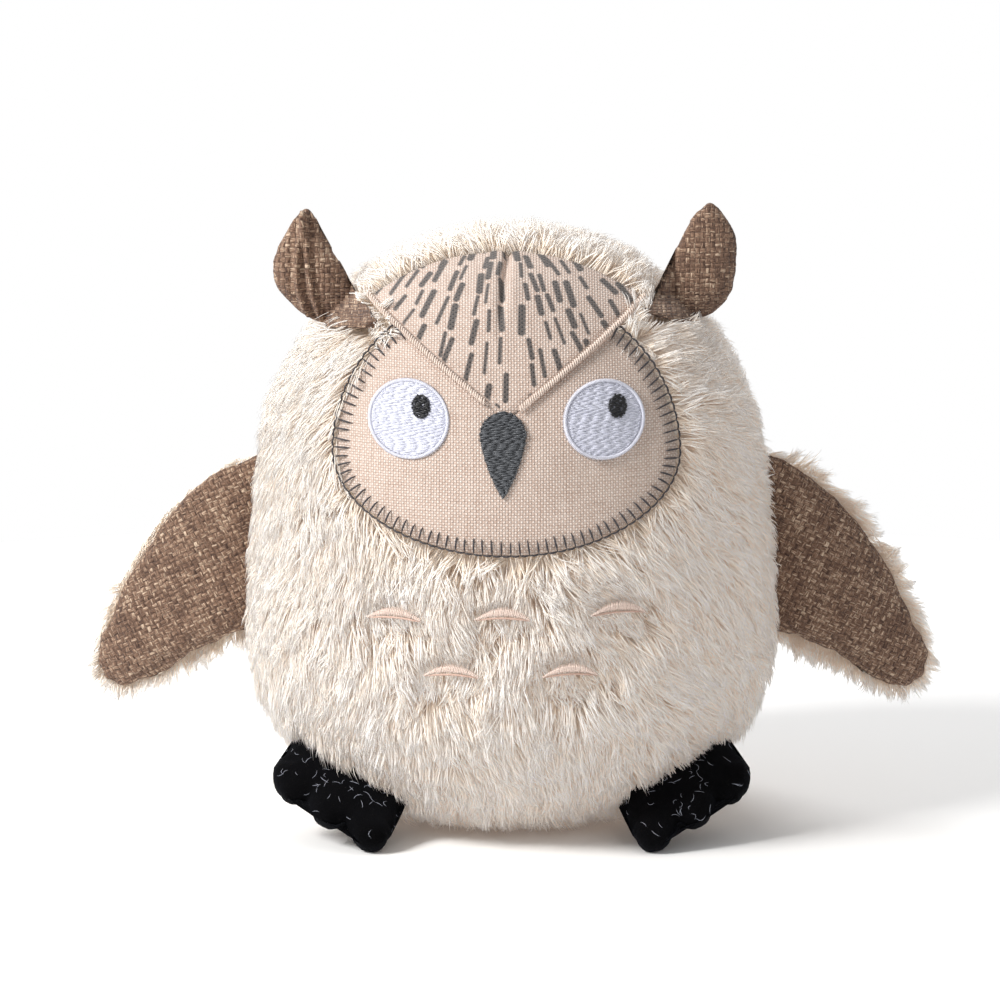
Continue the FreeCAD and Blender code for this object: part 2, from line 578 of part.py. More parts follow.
def make_battery_box():
    x, z = BOX["x"], BOX["z"]
    wall = 1.6
    case = box((-x, x), (BOX["front"], BOX["back"]), z)
    bay = box((wall - x, x - wall), (BOX["front"] + wall, REACH), (z[0] + wall, BOX["bay_top"]))
    switch_room = box((5.5, x - wall), (BOX["front"] + wall, BOX["back"] - wall), (85.5, z[1] - wall))
    lead_hole = box((-x + 8, -x + 10), (BOX["front"] - 1, BOX["front"] + wall + 1), (64.0, 66.0))
    sx, sz = SLIDER["x"], SLIDER["z"]
    slot = box((sx[0] - 0.4, sx[1] + SLIDER["travel"] + 0.4), (50, REACH), (sz[0] - 0.4, sz[1] + 0.4))
    case = case.cut(bay).cut(switch_room).cut(slot).cut(lead_hole)
    door = fuse([box((-x, x), (BOX["back"], BOX["door"]), (z[0], 85.0)),
                 box((-4, 4), (BOX["back"], BOX["door"]), (84.0, 90.0))])
    for index in range(5):
        groove_z = 58.0 + 2.0 * index
        door = door.cut(box((-8, 8), (BOX["door"] - 0.5, REACH), (groove_z, groove_z + 1.0)))
    shank = rod(1.1, (0, 50.0, 87.5), (0, BOX["door"], 87.5))
    head = rod(2.3, (0, BOX["door"], 87.5), (0, BOX["door"] + 1.2, 87.5))
    screw = fuse([shank, head]).cut(box((-1.4, 1.4), (BOX["door"] + 0.6, REACH), (87.2, 87.8)))
    flange = box((sx[0] - 2, sx[1] + 2), (54.0, BOX["back"] - wall - 0.3), (86.5, 92.6))
    knob = box(sx, (55.0, 60.6), sz)
    for index in range(3):
        rib_x = sx[0] + 1.0 + 1.4 * index
        knob = knob.cut(box((rib_x, rib_x + 0.6), (60.0, REACH), sz))
    return {
        "battery_box": case.cut(shank),
        "battery_door": door.cut(shank),
        "battery_door_screw": screw,
        "power_switch_slider": fuse([flange, knob]),
        "battery_cells": make_cells(),
        "battery_contacts": make_contacts(x - wall),
    }


def make_cells():
    cells = []
    for index, z in enumerate(CELL["z"]):
        plus = 1 if index % 2 else -1
        nub = plus * CELL["half"]
        can = rod(CELL["r"], (-plus * CELL["half"], CELL["y"], z), (nub - plus * 1.0, CELL["y"], z))
        tip = rod(1.9, (nub - plus * 1.2, CELL["y"], z), (nub, CELL["y"], z))
        cells.append(fuse([can, tip]))
    return Part.makeCompound(cells)


def make_contacts(wall_x):
    """A plate against each cell end, with a conical spring stub or a flat boss."""
    contacts = []
    for index, z in enumerate(CELL["z"]):
        plus = 1 if index % 2 else -1
        for side in (-1, 1):
            outer, inner = side * wall_x, side * (wall_x - 0.4)
            plate = box((min(outer, inner), max(outer, inner)), (48.5, 56.5), (z - 4, z + 4))
            length = wall_x - 0.4 - CELL["half"]
            tip_r = 1.5 if side == plus else 3.0
            stub = Part.makeCone(3.6, tip_r, length, Vector(inner, CELL["y"], z), Vector(-side, 0, 0))
            contacts.append(fuse([plate, stub]))
    return Part.makeCompound(contacts)


def make_press_switch():
    z = PRESS["z"]
    cup = rod(PRESS["r"], (0, -63, z), (0, -54, z)).cut(rod(PRESS["bore_r"], (0, -64, z), (0, -55.6, z)))
    cap = rod(PRESS["cap_r"], (0, -66.5, z), (0, -60, z)).cut(rod(8.6, (0, -64.5, z), (0, -59, z)))
    plunger = rod(2.5, (0, -65, z), (0, -60, z))
    outer = Part.makeCone(7.0, 3.2, 4.4, Vector(0, -55.6, z), Vector(0, -1, 0))
    inner = Part.makeCone(6.2, 2.4, 3.8, Vector(0, -55.6, z), Vector(0, -1, 0))
    return {"press_switch_base": cup, "press_switch_cap": fuse([cap, plunger]),
            "press_switch_dome": outer.cut(inner)}


def make_leads():
    """Two short insulated leads, held by the filling on their whole length."""
    battery = rod(1.0, (-17, CORE["back"], 65), (-17, BOX["front"], 65))
    press = rod(0.8, (0, -54, PRESS["z"]), (0, CORE["front"], PRESS["z"]))
    return Part.makeCompound([battery, press])


def make_fill(leads):
    pockets = oval_prism().fuse(forehead_prism()).fuse(rod(BASE_PANEL_R, (0, 0, -1), (0, 0, 10)))
    fill = egg(FUR).fuse(egg(CANVAS_IN).common(pockets))
    gap = 0.3
    x = CORE["x"] + gap
    rooms = [box((-x, x), (CORE["front"] - gap, CORE["back"] + 2), (CORE["z"][0] - gap, CORE["z"][1] + gap)),
             box((-BOX["x"] - gap, BOX["x"] + gap), (BOX["front"] - gap, REACH),
                 (BOX["z"][0] - gap, BOX["z"][1] + gap)),
             rod(PRESS["r"] + 0.4, (0, -REACH, PRESS["z"]), (0, -54 + gap, PRESS["z"]))
             .common(egg(FUR))]
    arm_room = box((CORE["x"], REACH), (-12.4, 6.4), (73.6, 91.4))
    rooms += [arm_room, mirror(arm_room), leads]
    for room in rooms:
        fill = fill.cut(room)
    return fill


def collect():
    parts = {}
    parts.update(make_skin())
    parts.update(make_face())
    for name, shape in list(make_right_wing().items()) + list(make_right_foot().items()):
        parts["right_" + name] = shape
        parts["left_" + name] = mirror(shape)
    phase = wing_pinion_phase()
    parts["right_wing_paddle"] = wing_paddle(phase)
    parts["left_wing_paddle"] = mirror(wing_paddle(phase + 180 / WING_TEETH))
    parts["left_ear"] = make_ear(LEFT_EAR_EDGE, LEFT_EAR_HINGE)
    parts["right_ear"] = make_ear(RIGHT_EAR_EDGE, RIGHT_EAR_HINGE)
    arm = make_right_arm()
    parts["right_wing_arm"] = arm
    parts["left_wing_arm"] = mirror(arm)
    for maker in (make_gears, make_housing, make_frame, make_electronics, make_battery_box,
                  make_press_switch):
        parts.update(maker())
    parts["inner_leads"] = make_leads()
    parts["fibre_fill"] = make_fill(parts["inner_leads"])
    return parts


if __name__ == "__main__":
    os.makedirs("parts", exist_ok=True)
    for node, solid in collect().items():
        print(node, len(solid.Solids), round(solid.Volume), solid.isValid())
        solid.exportStep(os.path.join("parts", node + ".step"))
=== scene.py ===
import math

import bmesh
import bpy
import numpy as np
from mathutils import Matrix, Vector
from mathutils.geometry import delaunay_2d_cdt


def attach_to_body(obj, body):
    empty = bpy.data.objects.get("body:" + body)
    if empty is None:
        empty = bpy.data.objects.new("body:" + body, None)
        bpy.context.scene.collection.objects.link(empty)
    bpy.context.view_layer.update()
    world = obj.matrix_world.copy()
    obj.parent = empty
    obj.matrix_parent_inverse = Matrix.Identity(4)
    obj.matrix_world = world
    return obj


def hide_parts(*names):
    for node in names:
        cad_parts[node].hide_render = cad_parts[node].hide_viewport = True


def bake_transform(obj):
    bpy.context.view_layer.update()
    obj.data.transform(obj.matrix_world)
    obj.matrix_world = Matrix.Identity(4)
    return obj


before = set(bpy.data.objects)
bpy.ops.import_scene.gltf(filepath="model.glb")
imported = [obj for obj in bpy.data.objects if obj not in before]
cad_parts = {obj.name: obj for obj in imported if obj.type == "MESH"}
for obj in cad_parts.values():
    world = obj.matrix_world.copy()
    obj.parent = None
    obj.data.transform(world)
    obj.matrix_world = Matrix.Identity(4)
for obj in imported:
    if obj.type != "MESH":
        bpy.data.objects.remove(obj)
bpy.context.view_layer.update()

# Lengths are in millimetres until a mesh is made, in the frame of the part: front -Y, left -X.
MM = 0.001
GOLDEN = math.pi * (3 - math.sqrt(5))
ROW_HEIGHT = 0.866              # of an even triangle, over its side

# ---- body and face, the same driving dimensions as the part -------------------------------------
BOTTOM_R, SIDE_R, WAIST_R, WAIST_Z, CROWN_Z = 55.0, 280.0, 75.0, 58.0, 168.5
FACE_X = -1.6
OVAL = {"half_width": 47.6, "z": 112.0, "down": 25.7, "up": 44.0}
BROW = {"z": 122.5, "slope": 0.767, "half_span": 38.5, "top_z": 164.7}
EYE = {"dx": 26.8, "z": 122.0, "half_width": 11.1, "half_height": 10.4}
PUPIL = {"dx": 3.6, "dz": 3.3, "half_width": 2.7, "half_height": 3.2}
BEAK = {"dx": -0.9, "half_width": 6.5, "top": 124.6, "wide": 118.0, "tip": 101.1}
FEATHER = {"half_width": 7.3, "rise": 3.3, "thick": 1.9}
FEATHER_PLACES = [(-30.4, 67.8), (-0.9, 68.9), (30.5, 69.6), (-14.8, 53.0), (17.4, 53.2)]
FLAP = {"half_width": 29.6, "top": 96.0, "y": 72.4, "drop": 46.0}
BASE_PANEL_R = 21.0

# ---- wings, ears and feet ------------------------------------------------------------------------
WING_EDGE = [(66, 103), (74, 103.5), (87, 98), (100.5, 86), (111, 71), (118.2, 55.5), (121.2, 45.5),
             (119.6, 38), (113.2, 34.6), (102, 38.6), (90.5, 43.8), (76, 51), (68, 56)]
WING_THICK = 12.0
EAR_Y = -8.0
EAR_THICK = 9.0
EAR_EDGES = {
    "left": [(-50, 134), (-57, 138), (-64.5, 147), (-68.2, 158), (-65.5, 167), (-58.6, 175.4),
             (-53.5, 168.5), (-46.5, 156), (-39.5, 143), (-36, 134)],
    "right": [(48, 136), (57, 140), (62, 148), (64.6, 160), (63, 170), (56.6, 177.4),
              (51, 172), (46, 163), (41.5, 152), (36, 142)],
}
FOOT_SEAM = (Vector((60.0, -26.0, 27.0)), Vector((29.0, -43.0, 12.0)))
TOES_TO = Vector((8.2, -20.0, -11.0))
FOOT_HALF, TOE_LENGTH, TOE_NOTCH, FOOT_THICK = 20.0, 25.5, 22.0, 12.5

# ---- camera --------------------------------------------------------------------------------------
CAMERA = {"elevation": 9.0, "distance": 1100.0, "target": (-3.3, 0.0, 90.0), "width": 290.0, "sensor": 36.0}


# ==== the egg =====================================================================================
def egg_arcs():
    """The body's profile: (centre, radius, start angle, end angle) of its three tangent arcs."""
    side = (WAIST_R - SIDE_R, WAIST_Z)
    lift = WAIST_Z - BOTTOM_R
    bottom = (side[0] + math.sqrt((SIDE_R - BOTTOM_R) ** 2 - lift ** 2), BOTTOM_R)
    rise = CROWN_Z - WAIST_Z
    top_r = (side[0] ** 2 + rise ** 2 - SIDE_R ** 2) / (2 * rise - 2 * SIDE_R)
    top = (0.0, CROWN_Z - top_r)
    low = math.atan2(bottom[1] - side[1], bottom[0] - side[0])
    high = math.atan2(top[1] - side[1], top[0] - side[0])
    return [(bottom, BOTTOM_R, -math.pi / 2, low), (side, SIDE_R, low, high), (top, top_r, high, math.pi / 2)]


ARCS = egg_arcs()
DOME_Z, DOME_R = ARCS[2][0][1], ARCS[2][1]


def egg_profile(steps=200):
    """Rows of radius, height, outward normal in radius and height, and length along the profile."""
    rows = []
    for (x, z), radius, start, end in ARCS:
        t = np.linspace(start, end, steps)
        rows.append(np.stack([x + radius * np.cos(t), z + radius * np.sin(t), np.cos(t), np.sin(t)], 1))
    rows = np.concatenate(rows)
    length = np.concatenate([[0.0], np.cumsum(np.hypot(*np.diff(rows[:, :2], axis=0).T))])
    return np.column_stack([rows, length])


PROFILE = egg_profile()


def on_egg(along, azimuth, lift=0.0):
    """Points and outward normals from the length along the profile and the azimuth, 0 at the front."""
    radius, z, out, up = (np.interp(along, PROFILE[:, 4], PROFILE[:, i]) for i in range(4))
    sine, cosine = np.sin(azimuth), np.cos(azimuth)
    normal = np.stack([out * sine, -out * cosine, up], 1)
    return np.stack([radius * sine, -radius * cosine, z], 1) + normal * np.reshape(lift, (-1, 1)), normal


def height_to_length(z):
    return np.interp(z, PROFILE[:, 1], PROFILE[:, 4])


def on_front(x, z, lift=0.0):
    """Points on the front of the egg, straight behind X and Z as seen from the front."""
    x, z = np.broadcast_arrays(np.asarray(x, float), np.asarray(z, float))
    radius = np.interp(z, PROFILE[:, 1], PROFILE[:, 0])
    azimuth = np.arcsin(np.clip(x / np.maximum(radius, 1e-6), -1, 1))
    return on_egg(height_to_length(z).ravel(), azimuth.ravel(), lift)[0]


def to_cloth(points):
    """Front-view X and Z to lengths along the cloth."""
    points = np.asarray(points, float)
    u = DOME_R * np.arcsin(points[:, 0] / DOME_R)
    return np.stack([u, DOME_R * np.arcsin((points[:, 1] - DOME_Z) / DOME_R)], 1)


def from_cloth(uv):
    return np.stack([DOME_R * np.sin(uv[:, 0] / DOME_R), DOME_Z + DOME_R * np.sin(uv[:, 1] / DOME_R)], 1)


# ==== outlines ====================================================================================
def resample(points, step, closed=True):
    """Evenly spaced points along a line of points."""
    points = np.asarray(points, float)
    if closed:
        points = np.vstack([points, points[:1]])
    length = np.concatenate([[0.0], np.cumsum(np.linalg.norm(np.diff(points, axis=0), axis=1))])
    count = max(3, int(round(length[-1] / step)))
    at = np.linspace(0, length[-1], count, endpoint=not closed)
    return np.stack([np.interp(at, length, points[:, i]) for i in range(points.shape[1])], 1)


def smooth_curve(points, steps=12):
    """Catmull-Rom curve through points, open, with its ends kept."""
    points = np.asarray(points, float)
    padded = np.vstack([2 * points[0] - points[1], points, 2 * points[-1] - points[-2]])
    t = np.linspace(0, 1, steps, endpoint=False)[:, None]
    runs = []
    for a, b, c, d in zip(padded, padded[1:], padded[2:], padded[3:]):
        runs.append(0.5 * (2 * b + (c - a) * t + (2 * a - 5 * b + 4 * c - d) * t ** 2
                           + (3 * b - a - 3 * c + d) * t ** 3))
    return np.vstack(runs + [points[-1:]])


def arc_points(a, b, c, steps=24):
    """Arc of a circle through three points of the plane."""
    (ax, ay), (bx, by), (cx, cy) = a, b, c
    d = 2 * (ax * (by - cy) + bx * (cy - ay) + cx * (ay - by))
    squares = [p[0] ** 2 + p[1] ** 2 for p in (a, b, c)]
    x = (squares[0] * (by - cy) + squares[1] * (cy - ay) + squares[2] * (ay - by)) / d
    y = (squares[0] * (cx - bx) + squares[1] * (ax - cx) + squares[2] * (bx - ax)) / d
    radius = math.hypot(ax - x, ay - y)
    start, middle, end = (math.atan2(p[1] - y, p[0] - x) for p in (a, b, c))
    turn = (end - start) % (2 * math.pi)
    if (middle - start) % (2 * math.pi) > turn:
        turn -= 2 * math.pi
    t = start + turn * np.linspace(0, 1, steps)
    return np.stack([x + radius * np.cos(t), y + radius * np.sin(t)], 1)


def oval_at(angles, inset=0.0):
    """Edge of the face: half ellipses of different heights above and below the widest line."""
    height = np.where(np.sin(angles) > 0, OVAL["up"], OVAL["down"]) - inset
    return np.stack([FACE_X + (OVAL["half_width"] - inset) * np.cos(angles),
                     OVAL["z"] + height * np.sin(angles)], 1)


def brow_height(x):
    return BROW["z"] + BROW["slope"] * np.abs(x - FACE_X)


def face_edge(inset=0.0):
    """Open line round the face from the left end of the brow seam, down and up to its right end."""
    line = oval_at(np.linspace(math.pi / 2, math.pi * 2.5, 721), inset)
    below = line[:, 1] < brow_height(line[:, 0]) - 0.6
    return line[below]


def face_outline():
    return np.vstack([face_edge(), [(FACE_X, BROW["z"])]])


def forehead_corners():
    z = brow_height(FACE_X + BROW["half_span"])
    return (FACE_X - BROW["half_span"], z), (FACE_X + BROW["half_span"], z)


def forehead_outline():
    left, right = forehead_corners()
    return np.vstack([arc_points(right, (FACE_X, BROW["top_z"]), left, 80), [(FACE_X, BROW["z"])]])


def inside(points, polygon):
    """True for each point of the plane that lies in the polygon."""
    x, y = points[:, 0:1], points[:, 1:2]
    ax, ay = polygon[:, 0], polygon[:, 1]
    bx, by = np.roll(ax, -1), np.roll(ay, -1)
    crosses = (ay > y) != (by > y)
    at = ax + (y - ay) / np.where(by == ay, 1e-9, by - ay) * (bx - ax)
    return (crosses & (x < at)).sum(1) % 2 == 1


def nearest(points, line):
    """Distance from each point to the closest point of a densely sampled line, and that point's index."""
    distance, index = np.empty(len(points)), np.empty(len(points), int)
    for start in range(0, len(points), 4000):
        part = slice(start, start + 4000)
        square = ((points[part, None, :] - line[None]) ** 2).sum(2)
        index[part] = square.argmin(1)
        distance[part] = np.sqrt(square.min(1))
    return distance, index


def fill_outline(outline, step):
    """Triangles over an outline: points, triangles and the number of points on its edge."""
    edge = resample(outline, step)
    low, high = edge.min(0), edge.max(0)
    rows = []
    for i, y in enumerate(np.arange(low[1], high[1], step * ROW_HEIGHT)):
        xs = np.arange(low[0] + (i % 2) * step / 2, high[0], step)
        rows.append(np.column_stack([xs, np.full(len(xs), y)]))
    grid = np.vstack(rows)
    grid = grid[inside(grid, edge)]
    grid = grid[nearest(grid, resample(outline, step / 3))[0] > step * 0.55]
    points = np.vstack([edge, grid])
    ring = [(i, (i + 1) % len(edge)) for i in range(len(edge))]
    made = delaunay_2d_cdt([Vector(p) for p in points.tolist()], ring, [], 1, 1e-6, False)
    return np.array([tuple(p) for p in made[0]]), np.array(made[2]), len(edge)


# ==== meshes ======================================================================================
def new_object(name, points, faces, materials):
    """Mesh object from points in millimetres."""
    mesh = bpy.data.meshes.new(name)
    mesh.from_pydata((np.asarray(points) * MM).tolist(), [], [list(map(int, f)) for f in faces])
    return finish_mesh(name, mesh, materials)


def finish_mesh(name, mesh, materials):
    """Object with smooth shading and these materials."""
    for material in materials:
        mesh.materials.append(material)
    mesh.polygons.foreach_set("use_smooth", np.full(len(mesh.polygons), True))
    mesh.update()
    piece = bpy.data.objects.new(name, mesh)
    bpy.context.scene.collection.objects.link(piece)
    return piece


def set_cloth_uv(mesh, uv):
    """Writes lengths along the cloth, in millimetres, as the UV map that the weaves follow."""
    layer = mesh.uv_layers.new(name="cloth_mm")
    corner = np.empty(len(mesh.loops), int)
    mesh.loops.foreach_get("vertex_index", corner)
    layer.data.foreach_set("uv", uv[corner].astype(np.float32).ravel())


def set_value(mesh, name, values):
    mesh.attributes.new(name, "FLOAT", "POINT").data.foreach_set("value", np.asarray(values, np.float32))


def smoothstep(x, low=0.0, high=1.0):
    t = np.clip((x - low) / (high - low), 0, 1)
    return t * t * (3 - 2 * t)


def unit(vectors):
    return vectors / np.maximum(np.linalg.norm(vectors, axis=-1, keepdims=True), 1e-9)


def laid_flat(vectors, normals):
    """Unit directions in the surface that has these normals."""
    return unit(vectors - normals * (vectors * normals).sum(1, keepdims=True))


def downhill(normals, azimuth):
    """Directions down the egg and round it at each point."""
    down = np.stack([normals[:, 2] * np.sin(azimuth), -normals[:, 2] * np.cos(azimuth),
                     -np.hypot(normals[:, 0], normals[:, 1])], 1)
    return down, np.stack([np.cos(azimuth), np.sin(azimuth), np.zeros(len(azimuth))], 1)


def attach(piece, slot, body, *nodes):
    """Material slot, which is not used, body that carries the piece, and the nodes that it stands for."""
    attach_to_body(piece, body)
    if nodes:
        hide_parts(*nodes)


class Threads:
    """Collects short round threads and makes them one mesh."""

    def __init__(self, sides=5):
        self.sides, self.points, self.faces, self.tones, self.count = sides, [], [], [], 0

    def add(self, line, radius, normal, tone=0):
        """One thread along a line of points, lying on a surface with this normal, thinner at its ends."""
        line = np.asarray(line, float)
        ahead = unit(np.gradient(line, axis=0))
        across = unit(np.cross(ahead, normal))
        up = np.cross(ahead, across)
        n, sides = len(line), self.sides
        t = np.linspace(-1, 1, n)
        girth = radius * np.maximum(0.25, 1 - np.abs(t) ** 5)
        turn = np.arange(sides) * 2 * math.pi / sides
        ring = (across[:, None] * np.cos(turn)[:, None] + up[:, None] * np.sin(turn)[:, None])
        self.points.append((line[:, None] + ring * girth[:, None, None]).reshape(-1, 3))
        base = self.count
        for i in range(n - 1):
            for k in range(sides):
                a, b = base + i * sides + k, base + i * sides + (k + 1) % sides
                self.faces.append((a, b, b + sides, a + sides))
        self.faces.append(tuple(base + k for k in reversed(range(sides))))
        self.faces.append(tuple(base + (n - 1) * sides + k for k in range(sides)))
        self.tones += [tone] * ((n - 1) * sides + 2)
        self.count += n * sides

    def build(self, name, materials):
        piece = new_object(name, np.vstack(self.points), self.faces, materials)
        piece.data.polygons.foreach_set("material_index", np.array(self.tones, np.int32))
        return piece


# ==== materials ===================================================================================
def srgb(*values):
    """Linear colour from three display values between 0 and 255."""
    linear = [v / 255 / 12.92 if v <= 10.3 else ((v / 255 + 0.055) / 1.055) ** 2.4 for v in values]
    return tuple(linear) + (1.0,)


class Shader:
    """Short forms for building one material's nodes."""

    def __init__(self, name, **inputs):
        self.material = bpy.data.materials.new(name)
        self.material.use_nodes = True
        self.tree = self.material.node_tree
        self.bsdf = next(n for n in self.tree.nodes if n.type == "BSDF_PRINCIPLED")
        for key, value in inputs.items():
            self.bsdf.inputs[key.replace("_", " ")].default_value = value

    def node(self, kind, **settings):
        node = self.tree.nodes.new(kind)
        for key, value in settings.items():
            setattr(node, key, value)
        return node

    def plug(self, target, value):
        if isinstance(value, bpy.types.NodeSocket):
            self.tree.links.new(value, target)
        elif value is not None:
            target.default_value = value

    def math(self, operation, a, b=None, c=None, clamp=False):
        node = self.node("ShaderNodeMath", operation=operation, use_clamp=clamp)
        for socket, value in zip(node.inputs, (a, b, c)):
            self.plug(socket, value)
        return node.outputs[0]

    def mix(self, share, a, b):
        node = self.node("ShaderNodeMix", data_type="RGBA")
        self.plug(node.inputs["Factor"], share)
        self.plug(node.inputs["A"], a)
        self.plug(node.inputs["B"], b)
        return node.outputs["Result"]

    def blend(self, share, a, b):
        node = self.node("ShaderNodeMix", data_type="FLOAT")
        for key, value in (("Factor", share), ("A", a), ("B", b)):
            self.plug(node.inputs[key], value)
        return node.outputs["Result"]

    def noise(self, vector, scale, detail=2.0, roughness=0.5):
        node = self.node("ShaderNodeTexNoise")
        self.plug(node.inputs["Vector"], vector)
        self.plug(node.inputs["Scale"], scale)
        self.plug(node.inputs["Detail"], detail)
        self.plug(node.inputs["Roughness"], roughness)
        return node.outputs["Fac"]

    def stretch(self, vector, x, y):
        node = self.node("ShaderNodeMapping")
        self.plug(node.inputs["Vector"], vector)
        node.inputs["Scale"].default_value = (x, y, 1.0)
        return node.outputs[0]

    def ramp(self, value, *stops):
        node = self.node("ShaderNodeValToRGB")
        self.plug(node.inputs[0], value)
        ramp = node.color_ramp
        while len(ramp.elements) < len(stops):
            ramp.elements.new(0.5)
        for element, (place, colour) in zip(ramp.elements, stops):
            element.position, element.color = place, colour
        return node.outputs[0]

    def place(self):
        """Position in the piece's own space, in metres, which stays with the cloth as it moves."""
        return self.node("ShaderNodeTexCoord").outputs["Object"]

    def bump(self, height, distance, strength=1.0):
        node = self.node("ShaderNodeBump")
        self.plug(node.inputs["Height"], height)
        node.inputs["Distance"].default_value = distance
        node.inputs["Strength"].default_value = strength
        self.plug(self.bsdf.inputs["Normal"], node.outputs[0])

    def colour(self, value):
        self.plug(self.bsdf.inputs["Base Color"], value)

    def weave(self, pitch, wander=0.0, weft_share=1.0):
        """Plain weave at a thread pitch in millimetres: relief, which thread is on top, and the cloth
        coordinates. A weft share under 1 sinks the weft, so that the warp shows as staggered dots."""
        uv = self.node("ShaderNodeUVMap", uv_map="cloth_mm").outputs[0]
        if wander:
            drift = self.node("ShaderNodeTexNoise")
            self.plug(drift.inputs["Vector"], uv)
            drift.inputs["Scale"].default_value = 0.35
            shift = self.node("ShaderNodeVectorMath", operation="SCALE")
            self.plug(shift.inputs[0], drift.outputs["Color"])
            shift.inputs["Scale"].default_value = wander
            total = self.node("ShaderNodeVectorMath", operation="ADD")
            self.plug(total.inputs[0], uv)
            self.plug(total.inputs[1], shift.outputs[0])
            uv = total.outputs[0]
        split = self.node("ShaderNodeSeparateXYZ")
        self.plug(split.inputs[0], uv)
        cell = [self.math("DIVIDE", split.outputs[i], pitch[i]) for i in (0, 1)]
        wave = [self.math("SINE", self.math("MULTIPLY", self.math("FRACT", c), math.pi)) for c in cell]
        parity = self.math("MODULO", self.math("ADD", *[self.math("FLOOR", c) for c in cell]), 2.0)
        parity = self.math("ABSOLUTE", parity)
        round_ = [self.math("POWER", w, 0.55) for w in wave]
        bulge = [self.math("MULTIPLY_ADD", w, 0.55, 0.45) for w in wave]
        warp = self.math("MULTIPLY", round_[0], bulge[1])
        weft = self.math("MULTIPLY", self.math("MULTIPLY", round_[1], bulge[0]), weft_share)
        return self.blend(parity, warp, weft), parity, uv


def canvas_material(name, printed):
    s = Shader(name, Roughness=0.85, Sheen_Weight=0.15, Sheen_Roughness=0.6)
    relief, _, uv = s.weave((0.80, 0.72), 0.25, 0.4)
    slub = s.math("ADD", s.math("MULTIPLY", s.noise(s.stretch(uv, 0.10, 1.3), 1.0), 0.5),
                  s.math("MULTIPLY", s.noise(s.stretch(uv, 1.3, 0.10), 1.0), 0.5))
    # Tone follows the weave's relief, darker in the hollows between threads, which is painted shade, and the
    # slubs of the yarn, which are the cloth's own.
    tone = s.math("ADD", s.math("MULTIPLY", relief, 0.75), s.math("MULTIPLY_ADD", slub, 0.9, -0.25))
    cloth = s.ramp(tone, (0.0, srgb(160, 128, 110)), (0.45, srgb(202, 180, 166)), (0.9, srgb(228, 215, 206)))
    if printed:
        ink = s.node("ShaderNodeAttribute", attribute_name="ink").outputs["Fac"]
        worn = s.math("MULTIPLY", ink, s.math("MULTIPLY_ADD", relief, 0.22, 0.80), clamp=True)
        cloth = s.mix(worn, cloth, srgb(48, 48, 50))
    s.colour(cloth)
    s.bump(relief, 0.00040, 1.0)
    return s.material


def linen_material():
    """Coarse linen of mixed brown and cream yarns with slubs."""
    s = Shader("melange_linen", Roughness=0.82, Sheen_Weight=0.1)
    relief, parity, uv = s.weave((1.42, 1.42), 0.9, 0.9)
    warp = s.noise(s.stretch(uv, 0.75, 0.09), 1.0, 3.0, 0.75)
    weft = s.noise(s.stretch(uv, 0.09, 0.75), 1.0, 3.0, 0.75)
    warp_fibre = s.noise(s.stretch(uv, 3.4, 0.35), 1.0, 2.0, 0.7)
    weft_fibre = s.noise(s.stretch(uv, 0.35, 3.4), 1.0, 2.0, 0.7)
    yarn_tone = s.blend(parity, warp, weft)
    fibre = s.blend(parity, warp_fibre, weft_fibre)
    yarn = s.math("ADD", s.math("MULTIPLY_ADD", yarn_tone, 1.7, -0.35),
                  s.math("MULTIPLY_ADD", fibre, 1.5, -0.75))
    colour = s.ramp(yarn, (0.16, srgb(70, 48, 37)), (0.42, srgb(110, 82, 65)), (0.62, srgb(142, 112, 91)),
                    (0.9, srgb(208, 184, 160)))
    # Painted shade: the hollows between the yarns, where the relief is low, are darkened towards a deep
    # brown.
    gap = s.math("SUBTRACT", 1.0, s.math("MULTIPLY", relief, 2.2, clamp=True), clamp=True)
    s.colour(s.mix(s.math("MULTIPLY", gap, 0.75), colour, srgb(66, 46, 35)))
    s.bump(s.math("ADD", relief, s.math("MULTIPLY", fibre, 0.7)), 0.0005, 1.0)
    return s.material


def velour_material():
    s = Shader("black_velour", Roughness=0.95, Sheen_Weight=0.04, Sheen_Roughness=0.4,
               Sheen_Tint=srgb(160, 170, 195), Specular_IOR_Level=0.06)
    pile = s.noise(s.place(), 2600.0, 3.0, 0.7)
    brushed = s.noise(s.place(), 140.0, 3.0, 0.6)
    tone = s.math("ADD", s.math("MULTIPLY", pile, 0.6), s.math("MULTIPLY", brushed, 0.4))
    s.colour(s.ramp(tone, (0.3, srgb(1, 1, 1)), (0.7, srgb(10, 10, 13))))
    s.bump(pile, 0.0004, 0.8)
    return s.material


def thread_material(name, dark, light, roughness=0.45, sheen=0.2):
    """Glossy embroidery yarn: its twist shows as fine lines of tone."""
    s = Shader(name, Roughness=roughness, Sheen_Weight=sheen)
    twist = s.noise(s.place(), 3800.0, 2.0, 0.6)
    s.colour(s.ramp(twist, (0.3, dark), (0.7, light)))
    s.bump(twist, 0.00008, 0.7)
    return s.material


def plain_cloth_material(name, dark, light, scale=1500.0):
    s = Shader(name, Roughness=0.9, Sheen_Weight=0.2)
    fibre = s.noise(s.place(), scale, 4.0, 0.65)
    s.colour(s.ramp(fibre, (0.3, dark), (0.7, light)))
    s.bump(fibre, 0.0003, 0.6)
    return s.material


def hard_material(name, dark, light, roughness, metallic):
    """Moulded plastic or metal: slight cloudiness, fine grain and uneven gloss."""
    s = Shader(name, Metallic=metallic)
    cloud = s.noise(s.place(), 75.0, 3.0, 0.6)
    speck = s.noise(s.place(), 900.0, 2.0, 0.6)
    s.colour(s.ramp(cloud, (0.3, dark), (0.7, light)))
    s.plug(s.bsdf.inputs["Roughness"], s.math("MULTIPLY_ADD", speck, 0.25, roughness - 0.12))
    s.bump(speck, 0.00002, 0.8)
    return s.material


